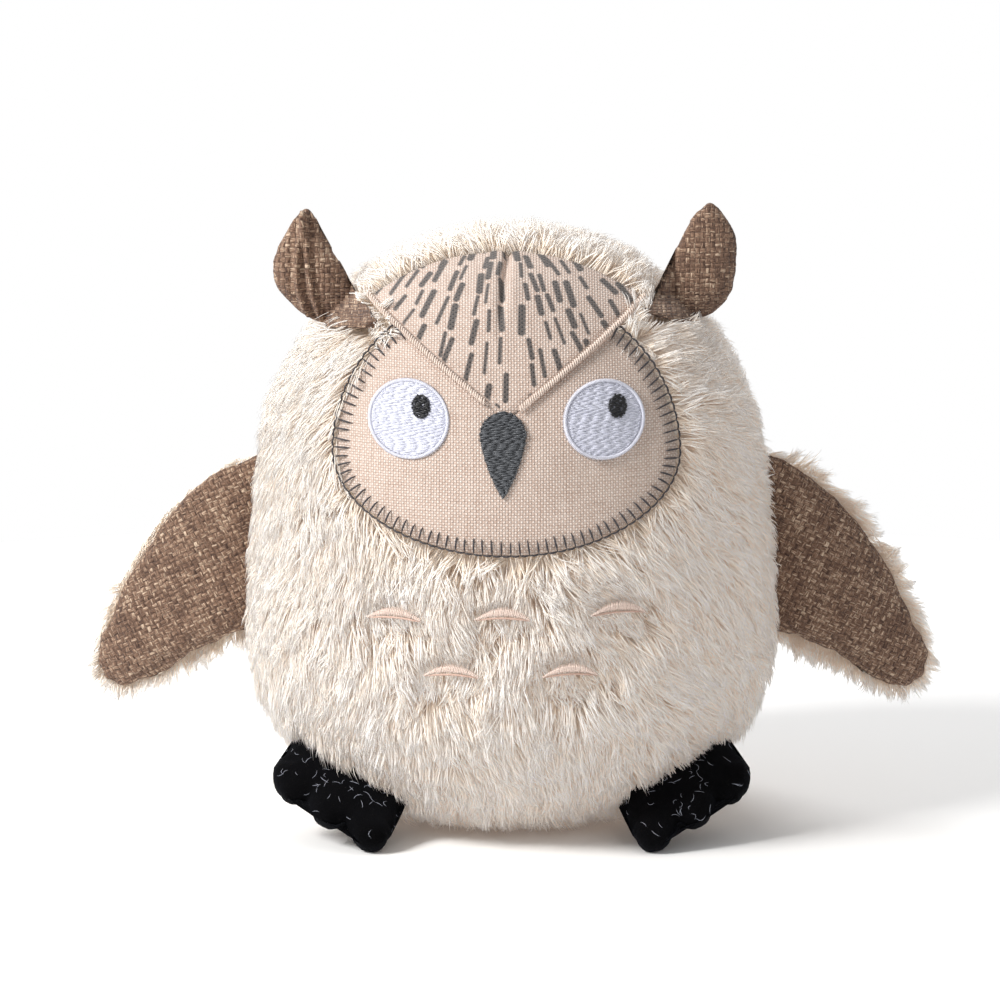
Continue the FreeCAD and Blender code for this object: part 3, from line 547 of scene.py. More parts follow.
def fur_materials(tones):
    """One plain colour for each step from the depth of the pile to its pale tips; the darker root steps are
    painted shade of the pile's depths. The faint emission stands for the light that is scattered from fibre
    to fibre."""
    return [Shader(f"pile_{i}", Base_Color=srgb(*tone), Roughness=0.65, Subsurface_Weight=0.65,
                   Subsurface_Scale=0.0012, Subsurface_Radius=(1.0, 0.97, 0.94), Specular_IOR_Level=0.3,
                   Emission_Color=(1.0, 0.81, 0.70, 1.0), Emission_Strength=0.065).material
            for i, tone in enumerate(tones)]


# Darkest first: the darker tones, which the strands' roots take, are painted shade of the pile's depths.
FUR = fur_materials([(243, 224, 202), (248, 236, 221), (252, 245, 236), (254, 250, 245), (255, 254, 251)])
CANVAS = canvas_material("face_canvas_cloth", False)
PRINTED = canvas_material("printed_canvas_cloth", True)
LINEN = linen_material()
VELOUR = velour_material()
BACKING = plain_cloth_material("pile_backing", srgb(232, 212, 190), srgb(250, 238, 222))
WHITE_THREAD = thread_material("white_yarn", srgb(196, 198, 212), srgb(224, 225, 237))
SATIN_THREAD = thread_material("white_satin_yarn", srgb(210, 211, 225), srgb(236, 237, 247), 0.35)
BLACK_THREAD = thread_material("black_yarn", srgb(6, 6, 8), srgb(30, 30, 34), 0.4, 0.05)
GREY_THREAD = thread_material("grey_yarn", srgb(50, 52, 56), srgb(94, 97, 102), 0.42, 0.1)
CHARCOAL_THREAD = thread_material("charcoal_yarn", srgb(30, 27, 30), srgb(66, 60, 64), 0.5, 0.1)
PIPING_THREAD = thread_material("piping_yarn", srgb(206, 184, 170), srgb(240, 226, 214), 0.45)
FEATHER_THREAD = thread_material("feather_yarn", srgb(212, 188, 176), srgb(236, 217, 205), 0.4)
FEATHER_EDGE = thread_material("feather_edge_yarn", srgb(186, 152, 136), srgb(208, 176, 160), 0.45)
LINT = thread_material("lint", srgb(150, 156, 172), srgb(196, 200, 214))


# ==== pile ========================================================================================
STRAND_LIMIT = 12000            # keeps a piece under 200000 triangles
RINGS = np.array([0.0, 0.42, 0.78, 1.0])        # places along a strand, its tip last
GIRTH = np.array([0.18, 0.20, 0.13])            # radius of a strand at its first three rings
LOCKS, LOCK_STRANDS, LOCK_RADIUS = 9400, 19, 2.4
WING_LOCKS, WING_LOCK_STRANDS, WING_LOCK_RADIUS = 900, 13, 2.0
FUR_DEPTH = 4.0                 # of the roots of the pile under the body's outer shape


def strand_mesh(name, paths, sides, girth, tones):
    """Closed three-sided tapering strands. paths is strand x ring x 3; tones is strand x 3 segments."""
    count = len(paths)
    ahead = unit(np.gradient(paths, axis=1))
    across = unit(np.cross(ahead, sides[:, None, :]))
    up = np.cross(across, ahead)
    points = np.empty((count, 10, 3))
    for ring in range(3):
        for k in range(3):
            angle = 2 * math.pi * k / 3 + 0.5
            spoke = across[:, ring] * math.cos(angle) + up[:, ring] * math.sin(angle)
            points[:, ring * 3 + k] = paths[:, ring] + spoke * (GIRTH[ring] * girth)[:, None]
    points[:, 9] = paths[:, 3]
    quads = [(r * 3 + 3 + k, r * 3 + 3 + (k + 1) % 3, r * 3 + (k + 1) % 3, r * 3 + k)
             for r in range(2) for k in range(3)]
    tip = [(9, 6 + (k + 1) % 3, 6 + k) for k in range(3)]
    loops = np.array([v for f in quads + tip + [(0, 1, 2)] for v in f])
    sizes = np.array([4] * 6 + [3] * 4)
    segment = np.array([0] * 3 + [1] * 3 + [2] * 3 + [0])
    mesh = bpy.data.meshes.new(name)
    mesh.vertices.add(count * 10)
    mesh.vertices.foreach_set("co", (points * MM).astype(np.float32).ravel())
    mesh.loops.add(count * len(loops))
    index = (np.arange(count)[:, None] * 10 + loops[None]).astype(np.int32)
    mesh.loops.foreach_set("vertex_index", index.ravel())
    mesh.polygons.add(count * len(sizes))
    starts = np.concatenate([[0], np.cumsum(sizes)[:-1]])
    mesh.polygons.foreach_set("loop_start",
                              (np.arange(count)[:, None] * len(loops) + starts).astype(np.int32).ravel())
    mesh.update(calc_edges=True)
    piece = finish_mesh(name, mesh, FUR)
    mesh.polygons.foreach_set("material_index", tones[:, segment].astype(np.int32).ravel())
    mesh.update()
    return piece


def clumped_pile(rng, centres, normals, flows, length, rise, spread, per_clump, place_root):
    """Locks of strands. Each lock has a centre, a normal, a flow direction, a length and a rise; place_root
    gives the surface point and normal for offsets of a strand from its lock's centre."""
    clumps = len(centres)
    owner = np.repeat(np.arange(clumps), per_clump)
    n = len(owner)
    reach = spread * np.sqrt(rng.random(n))
    turn = rng.random(n) * 2 * math.pi
    side = np.cross(normals, flows)
    offset = flows[owner] * (reach * np.cos(turn))[:, None] + side[owner] * (reach * np.sin(turn))[:, None]
    roots, root_normals = place_root(owner, offset)
    long_ = (length * (1 + 0.16 * rng.standard_normal(clumps)))[owner] * (1 + 0.10 * rng.standard_normal(n))
    high = (rise + 0.55 * rng.standard_normal(clumps))[owner] + 0.45 * rng.standard_normal(n)
    pull = np.clip(0.66 + 0.14 * rng.standard_normal(clumps), 0.3, 0.95)[owner]
    sway = (1.3 * rng.standard_normal(clumps))[owner] + 0.45 * rng.standard_normal(n)
    jitter = 0.10 * rng.standard_normal(n)
    flow = unit(flows[owner] + side[owner] * jitter[:, None])
    flow = laid_flat(flow, root_normals)
    across = np.cross(root_normals, flow)
    flat = np.sqrt(np.maximum(long_ ** 2 - high ** 2, (0.3 * long_) ** 2))
    paths = np.empty((n, len(RINGS), 3))
    for i, t in enumerate(RINGS):
        forward = flat * t ** 1.15
        raised = high * (1 - (1 - t) ** 1.9)
        gather = -offset * (pull * t ** 1.4)[:, None]
        bend = sway * t ** 2
        paths[:, i] = (roots + flow * forward[:, None] + root_normals * raised[:, None] + gather
                       + across * bend[:, None])
    # Tone varies at random from lock to lock and strand to strand; each strand's root segment takes a darker
    # step and its tip a paler one, which is painted shade of the pile's depths.
    tone = np.clip(2.4 + 0.6 * rng.standard_normal(clumps), 1, 4)[owner] + 0.4 * rng.standard_normal(n)
    tones = np.stack([np.clip(tone - 2.1, 0, 2), np.clip(tone - 0.7, 1, 4), np.clip(tone + 0.5, 2, 4)], 1)
    return owner, paths, root_normals, np.rint(tones), 1 + 0.18 * rng.standard_normal(n).clip(-2, 2)


def body_flow(points, normals, azimuth):
    """Which way the brushed pile lies on the body, and how far its tips stand from the surface."""
    down, side = downhill(normals, azimuth)
    degrees = np.degrees((azimuth + math.pi) % (2 * math.pi) - math.pi)
    x, y, z = points.T
    right = smoothstep(degrees, -25, 55) * (1 - smoothstep(degrees, 85, 150))
    angle = 44 * right + 36 * right * smoothstep(z, 95, 140)
    left = smoothstep(-degrees, 20, 60) * (1 - smoothstep(-degrees, 90, 150))
    angle -= 14 * left * smoothstep(z, 90, 140)
    swirl = 12 * np.sin(x * 0.11 + z * 0.07) + 9 * np.sin(z * 0.17 - x * 0.05 + 1.3)
    angle = np.radians(angle + swirl * np.cos(np.radians(degrees / 2)))
    flow = down * np.cos(angle)[:, None] + side * np.sin(angle)[:, None]
    crown = smoothstep(z, 146, 156) * (1 - smoothstep(y, -5, 25))
    back = np.stack([0.016 * x, np.full(len(x), 0.55), np.full(len(x), 0.5)], 1)
    flow = flow * (1 - crown)[:, None] + back * crown[:, None]
    return laid_flat(flow, normals), crown


def feather_clearing(points):
    """1 at a crescent on the belly, falling to 0 away from it; the crescents lie bare in the pile."""
    clear = np.zeros(len(points))
    for dx, z in FEATHER_PLACES:
        across = (points[:, 0] - FACE_X - dx + 1.5) / 12.5
        along = (points[:, 2] - z - 3.5) / 11.0
        near = (1 - np.hypot(across, along)) * (points[:, 1] < 0)
        clear = np.maximum(clear, near)
    return np.clip(clear, 0, 1)


FACE_LINE = resample(np.vstack([face_edge(), arc_points(forehead_corners()[1], (FACE_X, BROW["top_z"]),
                                                        forehead_corners()[0], 80)]), 1.0)


def tuck_in(paths):
    """Presses the strands in behind the crescents and behind the ears."""
    points = paths.reshape(-1, 3)
    front = points[:, 1] < 0
    skin = on_front(points[:, 0], points[:, 2])[:, 1]
    half = FEATHER["half_width"]
    for dx, z in FEATHER_PLACES:
        x = points[:, 0] - FACE_X - dx
        arch = z + (FEATHER["rise"] - FEATHER["thick"] / 2) * (1 - np.minimum((x / half) ** 2, 1))
        near = 1 - smoothstep(np.abs(x), half, half + 3)
        near = near * (1 - smoothstep(np.abs(points[:, 2] - arch), 2.0, 5.5))
        points[:, 1] += np.maximum(skin - points[:, 1] + 1.0, 0) * near * front
    for edge in EAR_EDGES.values():
        outline = smooth_curve(edge)
        by_ear = np.abs(points[:, 0] - outline[:, 0].mean()) < 25
        close = np.flatnonzero(front & (points[:, 2] > 146.0) & by_ear)
        close = close[inside(points[close][:, [0, 2]], outline)]
        behind = ear_plane(np.column_stack([points[close, 0], points[close, 2], 0 * close]))[:, 1] + 1.0
        points[close, 1] = np.maximum(points[close, 1], behind)
    return points.reshape(paths.shape)


def ear_plane(points):
    """Ear upright at its tip, with its sewn edge lying on the curve of the head."""
    x, z = points[:, 0], points[:, 1]
    z = np.where(z < 152, 152 - (152 - z) * 0.6, z)
    skin = on_front(x, np.minimum(z, 151.0))[:, 1]
    low = 1 - smoothstep(z, 142, 170)
    ahead = np.clip(skin + 1.5 - EAR_Y, -28.0, 0.0) * low
    return np.column_stack([x, EAR_Y + ahead - points[:, 2], z - 0.1 * ahead])


def flap_mask(points):
    """True where the pile grows on the access flap."""
    x, y, z = points.T
    near = np.hypot(y - FLAP["y"], z - FLAP["top"]) < FLAP["drop"]
    return (np.abs(x) < FLAP["half_width"]) & (z < FLAP["top"]) & near & (y > 0)


def foot_mask(points):
    """True under the sewn edge of a foot."""
    x, y, z = np.abs(points[:, 0]), points[:, 1], points[:, 2]
    a, b = np.array(FOOT_SEAM[0]), np.array(FOOT_SEAM[1])
    share = np.clip(((np.stack([x, y, z], 1) - a) @ (b - a)) / ((b - a) @ (b - a)), -0.2, 1.2)
    gap = np.stack([x, y, z], 1) - (a + share[:, None] * (b - a))
    return (np.linalg.norm(gap, axis=1) < 7.0) & (gap[:, 2] < 1.0)


def scatter_locks(rng):
    """Roots of the locks, spread evenly over the body but for its base panel."""
    area = np.concatenate([[0.0], np.cumsum(PROFILE[1:, 0] * np.diff(PROFILE[:, 4]))])
    even = (np.arange(LOCKS) + 0.5) / LOCKS
    along = np.interp(even * area[-1], area, PROFILE[:, 4]) + rng.normal(0, 0.7, LOCKS)
    azimuth = np.arange(LOCKS) * GOLDEN % (2 * math.pi)
    centres, normals = on_egg(along, azimuth, -FUR_DEPTH)
    keep = (np.hypot(centres[:, 0], centres[:, 1]) > BASE_PANEL_R) | (centres[:, 2] > WAIST_Z)
    return along[keep], azimuth[keep], centres[keep], normals[keep]


def part_pile(seen, in_front, flows):
    """Combs the pile away from the face and the ears, from where its locks are seen in the front view. Also
    gives how near each lock is to the face, to its seam and to an ear, from 0 to 1."""
    gap, index = nearest(seen, FACE_LINE)
    by_face = (1 - smoothstep(gap, 0, 7)) * in_front
    seam = (1 - smoothstep(gap, 0, 5)) * in_front
    away = np.zeros_like(flows)
    away[:, [0, 2]] = unit(seen - FACE_LINE[index])
    flows = flows + away * (by_face * 0.6)[:, None]
    near_ear = np.zeros(len(flows))
    for edge in EAR_EDGES.values():
        ear_line = resample(smooth_curve(edge), 0.5)
        gap, index = nearest(seen, ear_line)
        by_ear = (1 - smoothstep(gap, 3, 10)) * in_front * (seen[:, 1] > 140) * ~inside(seen, ear_line)
        away[:, [0, 2]] = unit(seen - ear_line[index])
        flows = flows * (1 - 0.55 * by_ear)[:, None] + away * (0.55 * by_ear)[:, None]
        near_ear = np.maximum(near_ear, by_ear)
    return flows, by_face, seam, near_ear


def bare_skin(skin):
    """True where no pile grows: under the face, the ears and the sewn edges of the feet."""
    front, seen = skin[:, 1] < 0, skin[:, [0, 2]]
    bare = (inside(seen, FACE_LINE) & front) | foot_mask(skin)
    for edge in EAR_EDGES.values():
        bare |= inside(seen, smooth_curve(edge)) & front & (skin[:, 2] > 145.0)
    return bare


def body_pile():
    """Scatters the locks over the whole body and makes the pieces of each sewn panel."""
    rng = np.random.default_rng(11)
    along, azimuth, centres, normals = scatter_locks(rng)
    flows, crown = body_flow(centres, normals, azimuth)
    front, left = centres[:, 1] < 0, centres[:, 0] < 0
    seen = centres[:, [0, 2]] + normals[:, [0, 2]] * FUR_DEPTH
    flows, by_face, seam, near_ear = part_pile(seen, front, flows)
    flows = laid_flat(flows, normals)
    wobble = rng.normal(0, 0.22, len(flows)) * (1 - 0.6 * by_face)
    flows = unit(flows + np.cross(normals, flows) * wobble[:, None])
    clear = feather_clearing(centres)
    length = (13.0 - 3.0 * by_face) * (1 - 0.45 * smoothstep(clear, 0, 0.5)) * (1 - 0.45 * near_ear)
    low = 1 - smoothstep(centres[:, 2], 4, 16)
    rise = 5.0 + 0.8 * crown - 0.8 * by_face * (1 - crown) - 2.7 * smoothstep(clear, 0, 0.45)
    rise = rise - 1.2 * low - 2.0 * seam
    depth = -FUR_DEPTH + 2.4 * seam

    def place_root(owner, offset):
        down, side = downhill(normals, azimuth)
        radius = np.maximum(np.hypot(centres[:, 0], centres[:, 1]), 4.0)
        s = along[owner] - (offset * down[owner]).sum(1)
        a = azimuth[owner] + (offset * side[owner]).sum(1) / radius[owner]
        return on_egg(s, a, depth[owner])

    owner, paths, upright, tones, girth = clumped_pile(
        rng, centres, normals, flows, length, rise, LOCK_RADIUS, LOCK_STRANDS, place_root)
    grown = ~bare_skin(paths[:, 0] - upright * depth[owner][:, None])
    paths = tuck_in(paths)
    paths[:, :, 2] = np.maximum(paths[:, :, 2], 0.4)
    flap = flap_mask(centres + normals * FUR_DEPTH)
    panels = {"back_flap": flap,
              "front_left_fur": front & left & ~flap, "front_right_fur": front & ~left & ~flap,
              "back_left_fur": ~front & left & ~flap, "back_right_fur": ~front & ~left & ~flap}
    for name, mask in panels.items():
        chosen = np.flatnonzero(mask[owner] & grown)
        for part, group in enumerate(np.array_split(chosen, math.ceil(len(chosen) / STRAND_LIMIT))):
            piece = strand_mesh(f"{name}_pile_{part}", paths[group], upright[group], girth[group],
                                tones[group])
            if name == "back_flap":
                attach(piece, "fur", "back_flap")
            else:
                attach(piece, "fur", "root", name)


def revolve(name, profile, sides, materials):
    """Closed surface of revolution with its poles at the first and last point."""
    turn = np.arange(sides) * 2 * math.pi / sides
    rings = [np.stack([r * np.cos(turn), r * np.sin(turn), np.full(sides, z)], 1) for r, z in profile[1:-1]]
    points = np.vstack([[(0, 0, profile[0][1])]] + rings + [[(0, 0, profile[-1][1])]])
    faces = [(0, 1 + (k + 1) % sides, 1 + k) for k in range(sides)]
    for i in range(len(rings) - 1):
        for k in range(sides):
            a, b = 1 + i * sides + k, 1 + i * sides + (k + 1) % sides
            faces.append((a, b, b + sides, a + sides))
    last, top = 1 + (len(rings) - 1) * sides, len(points) - 1
    faces += [(last + k, last + (k + 1) % sides, top) for k in range(sides)]
    return new_object(name, points, faces, materials)


def skin_backing():
    """Backing cloth that the pile is tufted into, which shows between the locks, open under the flap."""
    depth = FUR_DEPTH + 0.2
    line = resample(PROFILE[:, :2] - PROFILE[:, 2:4] * depth, 2.0, closed=False)
    line = line[line[:, 0] > 0.5]
    profile = [(0.0, line[0, 1])] + [tuple(p) for p in line] + [(0.0, CROWN_Z - depth)]
    piece = revolve("pile_backing_cloth", profile, 240, [BACKING])
    shape = bmesh.new()
    shape.from_mesh(piece.data)
    centres = np.array([tuple(face.calc_center_median()) for face in shape.faces]) / MM
    shape.faces.ensure_lookup_table()
    opening = [shape.faces[i] for i in np.flatnonzero(flap_mask(centres))]
    bmesh.ops.delete(shape, geom=opening, context="FACES")
    shape.to_mesh(piece.data)
    shape.free()
    attach(piece, "fur", "root")


# ==== face ========================================================================================
def cloth_panel(name, outline, step, materials, lift):
    """Panel of cloth on the front of the egg, with its edge turned in."""
    flat, faces, edge = fill_outline(to_cloth(outline), step)
    view = from_cloth(flat)
    points = on_front(view[:, 0], view[:, 1], lift(view))
    under = on_front(view[:edge, 0], view[:edge, 1], -2.6)
    count = len(points)
    skirt = [(k, count + k, count + (k + 1) % edge, (k + 1) % edge) for k in range(edge)]
    piece = new_object(name, np.vstack([points, under]), list(faces) + skirt, materials)
    set_cloth_uv(piece.data, np.vstack([flat, flat[:edge]]))
    return piece, view, flat


def seam_dip(view, line, depth, reach):
    gap = nearest(view, line)[0]
    return -depth * np.exp(-(gap / reach) ** 2)


def brow_lines():
    left, right = forehead_corners()
    return [resample([(FACE_X, BROW["z"]), end], 0.5, closed=False) for end in (left, right)]


def make_face_panels():
    """Canvas face and printed forehead with its sewn centre dart."""
    seam = np.vstack(brow_lines())
    edge_line = resample(face_edge(), 0.5, closed=False)
    around = np.arange(len(edge_line)) * 0.5

    def face_lift(view):
        gap, index = nearest(view, edge_line)
        ripple = 0.22 * np.cos(around[index] * 2 * math.pi / 2.5) * np.exp(-gap / 1.6)
        soft = 0.25 * np.sin(view[:, 0] * 0.16 + 1) * np.sin(view[:, 1] * 0.19)
        return -0.5 + ripple + soft - 0.7 * np.exp(-(gap / 1.3) ** 2) + seam_dip(view, seam, 0.5, 1.4)

    face = cloth_panel("face_canvas_panel", face_outline(), 0.9, [CANVAS], face_lift)[0]
    dart = smooth_curve([(FACE_X + 0.6, BROW["top_z"]), (FACE_X - 0.6, 158.0), (FACE_X - 1.4, 150.0),
                         (FACE_X - 2.0, 143.0)])
    dart_line = resample(dart, 0.4, closed=False)

    def forehead_lift(view):
        gap = nearest(view, dart_line)[0]
        depth = 1.5 * smoothstep(view[:, 1], 140, 156)
        shoulders = 0.5 * np.exp(-((gap - 3.2) / 2.0) ** 2) * smoothstep(view[:, 1], 142, 156)
        soft = 0.3 * np.sin(view[:, 0] * 0.13 + 2) * np.sin(view[:, 1] * 0.17 + 1)
        return -0.4 - depth * np.exp(-(gap / 0.9) ** 2) + shoulders + soft + seam_dip(view, seam, 0.5, 1.4)

    forehead, view, flat = cloth_panel("forehead_panel", forehead_outline(), 0.36, [PRINTED], forehead_lift)
    ink = dash_print(view, flat)
    under = np.zeros(len(forehead.data.vertices) - len(ink))
    set_value(forehead.data, "ink", np.concatenate([ink, under]))
    attach(face, "canvas", "root", "face_canvas")
    attach(forehead, "printed_canvas", "root", "forehead_canvas")


def dash_print(view, flat):
    """Printed dashes: staggered columns of strokes that fan out from above the crown."""
    rng = np.random.default_rng(5)
    top = to_cloth([(FACE_X, 164.0)])[0] + (0, 62.0)
    ink = np.zeros(len(flat))
    spokes = 25
    for spoke in range(spokes):
        angle = math.radians(34) * (2 * (spoke + 0.5 + rng.uniform(-0.22, 0.22)) / spokes - 1)
        reach = 54.0 + (spoke % 2) * 5.6 + rng.uniform(-1, 1)
        while reach < 150:
            length = rng.uniform(5.0, 10.6)
            width = rng.uniform(0.55, 1.1)
            a = angle + rng.uniform(-0.016, 0.016)
            lean = a * 1.5 + rng.uniform(-0.12, 0.12)
            start = top + reach * np.array([math.sin(a), -math.cos(a)])
            ahead = np.array([math.sin(lean), -math.cos(lean)])
            offset = flat - start
            t = np.clip(offset @ ahead, 0, length)
            gap = np.linalg.norm(offset - t[:, None] * ahead, axis=1)
            ink = np.maximum(ink, 1 - smoothstep(gap, width - 0.25, width + 0.15))
            reach += length + rng.uniform(1.8, 4.4)
    margin = nearest(view, np.vstack(brow_lines()))[0]
    return ink * smoothstep(margin, 1.0, 1.6)


def outward(x, z):
    """Outward normal of the egg at a point seen from the front."""
    near = on_front(np.array([x, x]), np.array([z, z]), np.array([0.0, 1.0]))
    return near[1] - near[0]


def fill_stitches(threads, rng, ends_at, centre, rows, length, radius, lift, bow=0.0):
    """Rows of staggered stitches across a shape. ends_at gives its left and right end at a height, if any."""
    for row, z in enumerate(rows):
        ends = ends_at(z)
        if ends is None:
            continue
        left, right = ends
        x = left - rng.random() * length
        while x < right:
            a, b = max(x, left), min(x + length, right)
            if b - a > 0.35:
                xs = np.linspace(a + 0.05, b - 0.05, 4)
                arch = lift + 0.13 * np.array([-1.0, 0.5, 0.5, -1.0])
                zs = z + bow * np.sin((xs - centre) * 1.1 + row * 0.9) + rng.normal(0, 0.03)
                threads.add(on_front(xs, zs, arch), radius, outward((a + b) / 2, z))
            x += length


def ellipse_ends(x0, z0, w, h):
    """Function that gives the left and right end of an ellipse at a height."""
    def ends(z):
        share = 1 - ((z - z0) / h) ** 2
        return None if share <= 0 else (x0 - w * math.sqrt(share), x0 + w * math.sqrt(share))
    return ends


def make_eyes():
    rng = np.random.default_rng(3)
    for side, sign in (("left", -1), ("right", 1)):
        x0, z0, w, h = FACE_X + sign * EYE["dx"], EYE["z"], EYE["half_width"], EYE["half_height"]
        fill = Threads(4)
        chord = ellipse_ends(x0, z0, w - 0.7, h - 0.7)
        fill_stitches(fill, rng, chord, x0, np.arange(z0 - h, z0 + h, 0.42), 3.2, 0.24, -0.15)
        for angle in np.arange(0, 2 * math.pi, 0.36 / w):
            ray = np.linspace(-0.95, 0.35, 4)
            xs, zs = x0 + (w + ray) * math.cos(angle), z0 + (h + ray) * math.sin(angle)
            arch = np.array([-0.35, 0.22, 0.18, -0.4])
            fill.add(on_front(xs, zs, arch), 0.2, outward(xs[1], zs[1]), 1)
        eye = fill.build(side + "_eye_stitching", [WHITE_THREAD, SATIN_THREAD])
        px, pz = x0 + PUPIL["dx"], z0 + PUPIL["dz"]
        pw, ph = PUPIL["half_width"], PUPIL["half_height"]
        dot = Threads()
        rows = np.arange(pz - ph, pz + ph, 0.36)
        fill_stitches(dot, rng, ellipse_ends(px, pz, pw, ph), px, rows, 2.6, 0.26, 0.3)
        pupil = dot.build(side + "_pupil_stitching", [BLACK_THREAD])
        ground = disc_under(side + "_eye_ground", x0, z0, w - 0.3, h - 0.3, WHITE_THREAD)
        attach(eye, "white_thread", "root", side + "_eye_embroidery")
        attach(pupil, "black_thread", "root", side + "_pupil_embroidery")
        attach(ground, "white_thread", "root")


def disc_under(name, x0, z0, w, h, material):
    """Underlay of the embroidery, so that no canvas shows between the rows."""
    turn = np.linspace(0, 2 * math.pi, 72, endpoint=False)
    outline = np.stack([x0 + w * np.cos(turn), z0 + h * np.sin(turn)], 1)
    return cloth_panel(name, outline, 1.2, [material], lambda view: np.full(len(view), -0.2))[0]


def beak_ends(z):
    """Left and right edge of the beak at a height."""
    x, wide = FACE_X + BEAK["dx"], BEAK["half_width"]
    if z > BEAK["wide"]:
        crown = arc_points((x - wide, BEAK["wide"]), (x, BEAK["top"]), (x + wide, BEAK["wide"]), 60)
        half = np.interp(-z, -crown[:30, 1][::-1], np.abs(crown[:30, 0] - x)[::-1])
        return (x - half, x + half) if z < BEAK["top"] - 0.1 else None
    middle = (BEAK["wide"] + BEAK["tip"]) / 2
    flank = arc_points((x + wide, BEAK["wide"]), (x + 0.66 * wide, middle), (x, BEAK["tip"]), 60)
    half = np.interp(z, flank[::-1, 1], flank[::-1, 0] - x)
    return (x - half, x + half) if half > 0.2 else None


def make_beak():
    rng = np.random.default_rng(8)
    threads = Threads()
    rows = np.arange(BEAK["tip"] + 0.3, BEAK["top"], 0.46)
    fill_stitches(threads, rng, beak_ends, FACE_X + BEAK["dx"], rows, 3.0, 0.30, 0.25, bow=0.14)
    beak = threads.build("beak_stitching", [GREY_THREAD])
    ends = [(beak_ends(z), z) for z in rows if beak_ends(z)]
    outline = np.array([(e[0] + 0.25, z) for e, z in ends] + [(e[1] - 0.25, z) for e, z in ends[::-1]])
    ground = cloth_panel("beak_ground", outline, 1.0, [GREY_THREAD], lambda view: np.full(len(view), 0.1))[0]
    attach(beak, "grey_thread", "root", "beak_embroidery")
    attach(ground, "grey_thread", "root")


def make_piping():
    """Satin stitches lying diagonally over the cord in the brow seam."""
    rng = np.random.default_rng(21)
    threads = Threads()
    for line in brow_lines():
        line = resample(line, 0.68, closed=False)
        ahead = unit(line[-1] - line[0])
        across = np.array([-ahead[1], ahead[0]])
        clear = line[np.abs(line[:, 0] - FACE_X - BEAK["dx"]) > 4.0]
        threads.add(on_front(clear[:, 0], clear[:, 1], -0.1), 0.62, outward(*clear[0]), 1)
        for x, z in line[3:]:
            if abs(x - FACE_X - BEAK["dx"]) < 4.6:
                continue
            lean = ahead * 0.45 * np.sign(ahead[0])
            reach = np.linspace(-1, 1, 5)[:, None]
            points = (x, z) + across * reach * 0.95 + lean * reach + rng.normal(0, 0.04, 2)
            arch = -0.2 + 0.95 * np.sqrt(np.maximum(0, 1 - np.linspace(-1, 1, 5) ** 2))
            threads.add(on_front(points[:, 0], points[:, 1], arch), 0.27, outward(x, z), 0)
    piping = threads.build("brow_piping_stitching", [PIPING_THREAD, FEATHER_THREAD])
    attach(piping, "satin_thread", "root", "brow_piping")


def make_blanket_stitch():
    """Blanket stitch: a thread round the edge of the face and a leg inwards at each stitch."""
    rng = np.random.default_rng(17)
    threads = Threads()
    edge = resample(face_edge(), 2.5, closed=False)
    ahead = unit(np.gradient(edge, axis=0))
    inwards = np.column_stack([-ahead[:, 1], ahead[:, 0]])
    inwards *= np.sign((((FACE_X, OVAL["z"]) - edge) * inwards).sum(1, keepdims=True))
    for i, (point, inward) in enumerate(zip(edge, inwards)):
        leg = rng.uniform(3.6, 4.4)
        slant = np.array([-inward[1], inward[0]]) * rng.normal(0.25, 0.15)
        t = np.linspace(0, 1, 5)[:, None]
        line = point + inward * t * leg + slant * t
        threads.add(on_front(line[:, 0], line[:, 1], np.array([0.1, 0.35, 0.3, 0.2, -0.5])), 0.29,
                    outward(*line[2]), 0)
        if i + 1 < len(edge):
            nxt = edge[i + 1]
            s = np.linspace(-0.08, 1.08, 5)[:, None]
            run = point + (nxt - point) * s - inward * 0.25 * np.sin(np.pi * np.clip(s, 0, 1))
            threads.add(on_front(run[:, 0], run[:, 1], np.array([0.1, 0.35, 0.4, 0.35, 0.1])), 0.30,
                        outward(*run[2]), 0)
    stitching = threads.build("face_blanket_stitching", [CHARCOAL_THREAD])
    attach(stitching, "charcoal_thread", "root", "face_stitching")


def make_feathers():
    """Five satin-stitched crescents on the belly."""
    rng = np.random.default_rng(29)
    threads = Threads()
    half, rise, lower_rise = FEATHER["half_width"], FEATHER["rise"], FEATHER["rise"] - FEATHER["thick"]
    for dx, z0 in FEATHER_PLACES:
        x0 = FACE_X + dx
        for x in np.arange(-half, half + 0.01, 0.46):
            share = 1 - (x / half) ** 2
            high = z0 + rise * share + 0.15
            low = z0 + (lower_rise - 0.5) * share - 0.15
            xs = x0 + x + np.linspace(0.3, -0.3, 4) + rng.normal(0, 0.05)
            arch = 0.5 + np.array([-0.4, 0.3, 0.3, -0.4]) * (0.4 + 0.6 * share)
            threads.add(on_front(xs, np.linspace(high, low, 4), arch), 0.27, outward(x0 + x, z0))
        xs = np.linspace(-half, half, 25)
        border = z0 + (lower_rise - 0.6) * (1 - (xs / half) ** 2) - 0.3
        threads.add(on_front(x0 + xs, border, 0.5), 0.3, outward(x0, z0), 1)
    feathers = threads.build("belly_crescents", [FEATHER_THREAD, FEATHER_EDGE])
    attach(feathers, "feather_thread", "root", "belly_embroidery")


# ==== stuffed pieces ==============================================================================
SWELL_FRAMES, SWELL_SCALE = 20, 10.0
LINT_HAIRS, LINT_RADIUS = 80, 0.055


def freeze(piece):
    """Applies the piece's modifiers to its mesh."""
    scene_graph = bpy.context.evaluated_depsgraph_get()
    mesh = bpy.data.meshes.new_from_object(piece.evaluated_get(scene_graph))
    piece.modifiers.clear()
    piece.data = mesh
    return piece


def get_points(piece, what="co"):
    points = np.empty(len(piece.data.vertices) * 3)
    piece.data.vertices.foreach_get(what, points)
    return points.reshape(-1, 3)


def set_points(piece, points):
    piece.data.vertices.foreach_set("co", points.astype(np.float32).ravel())
    piece.data.update()


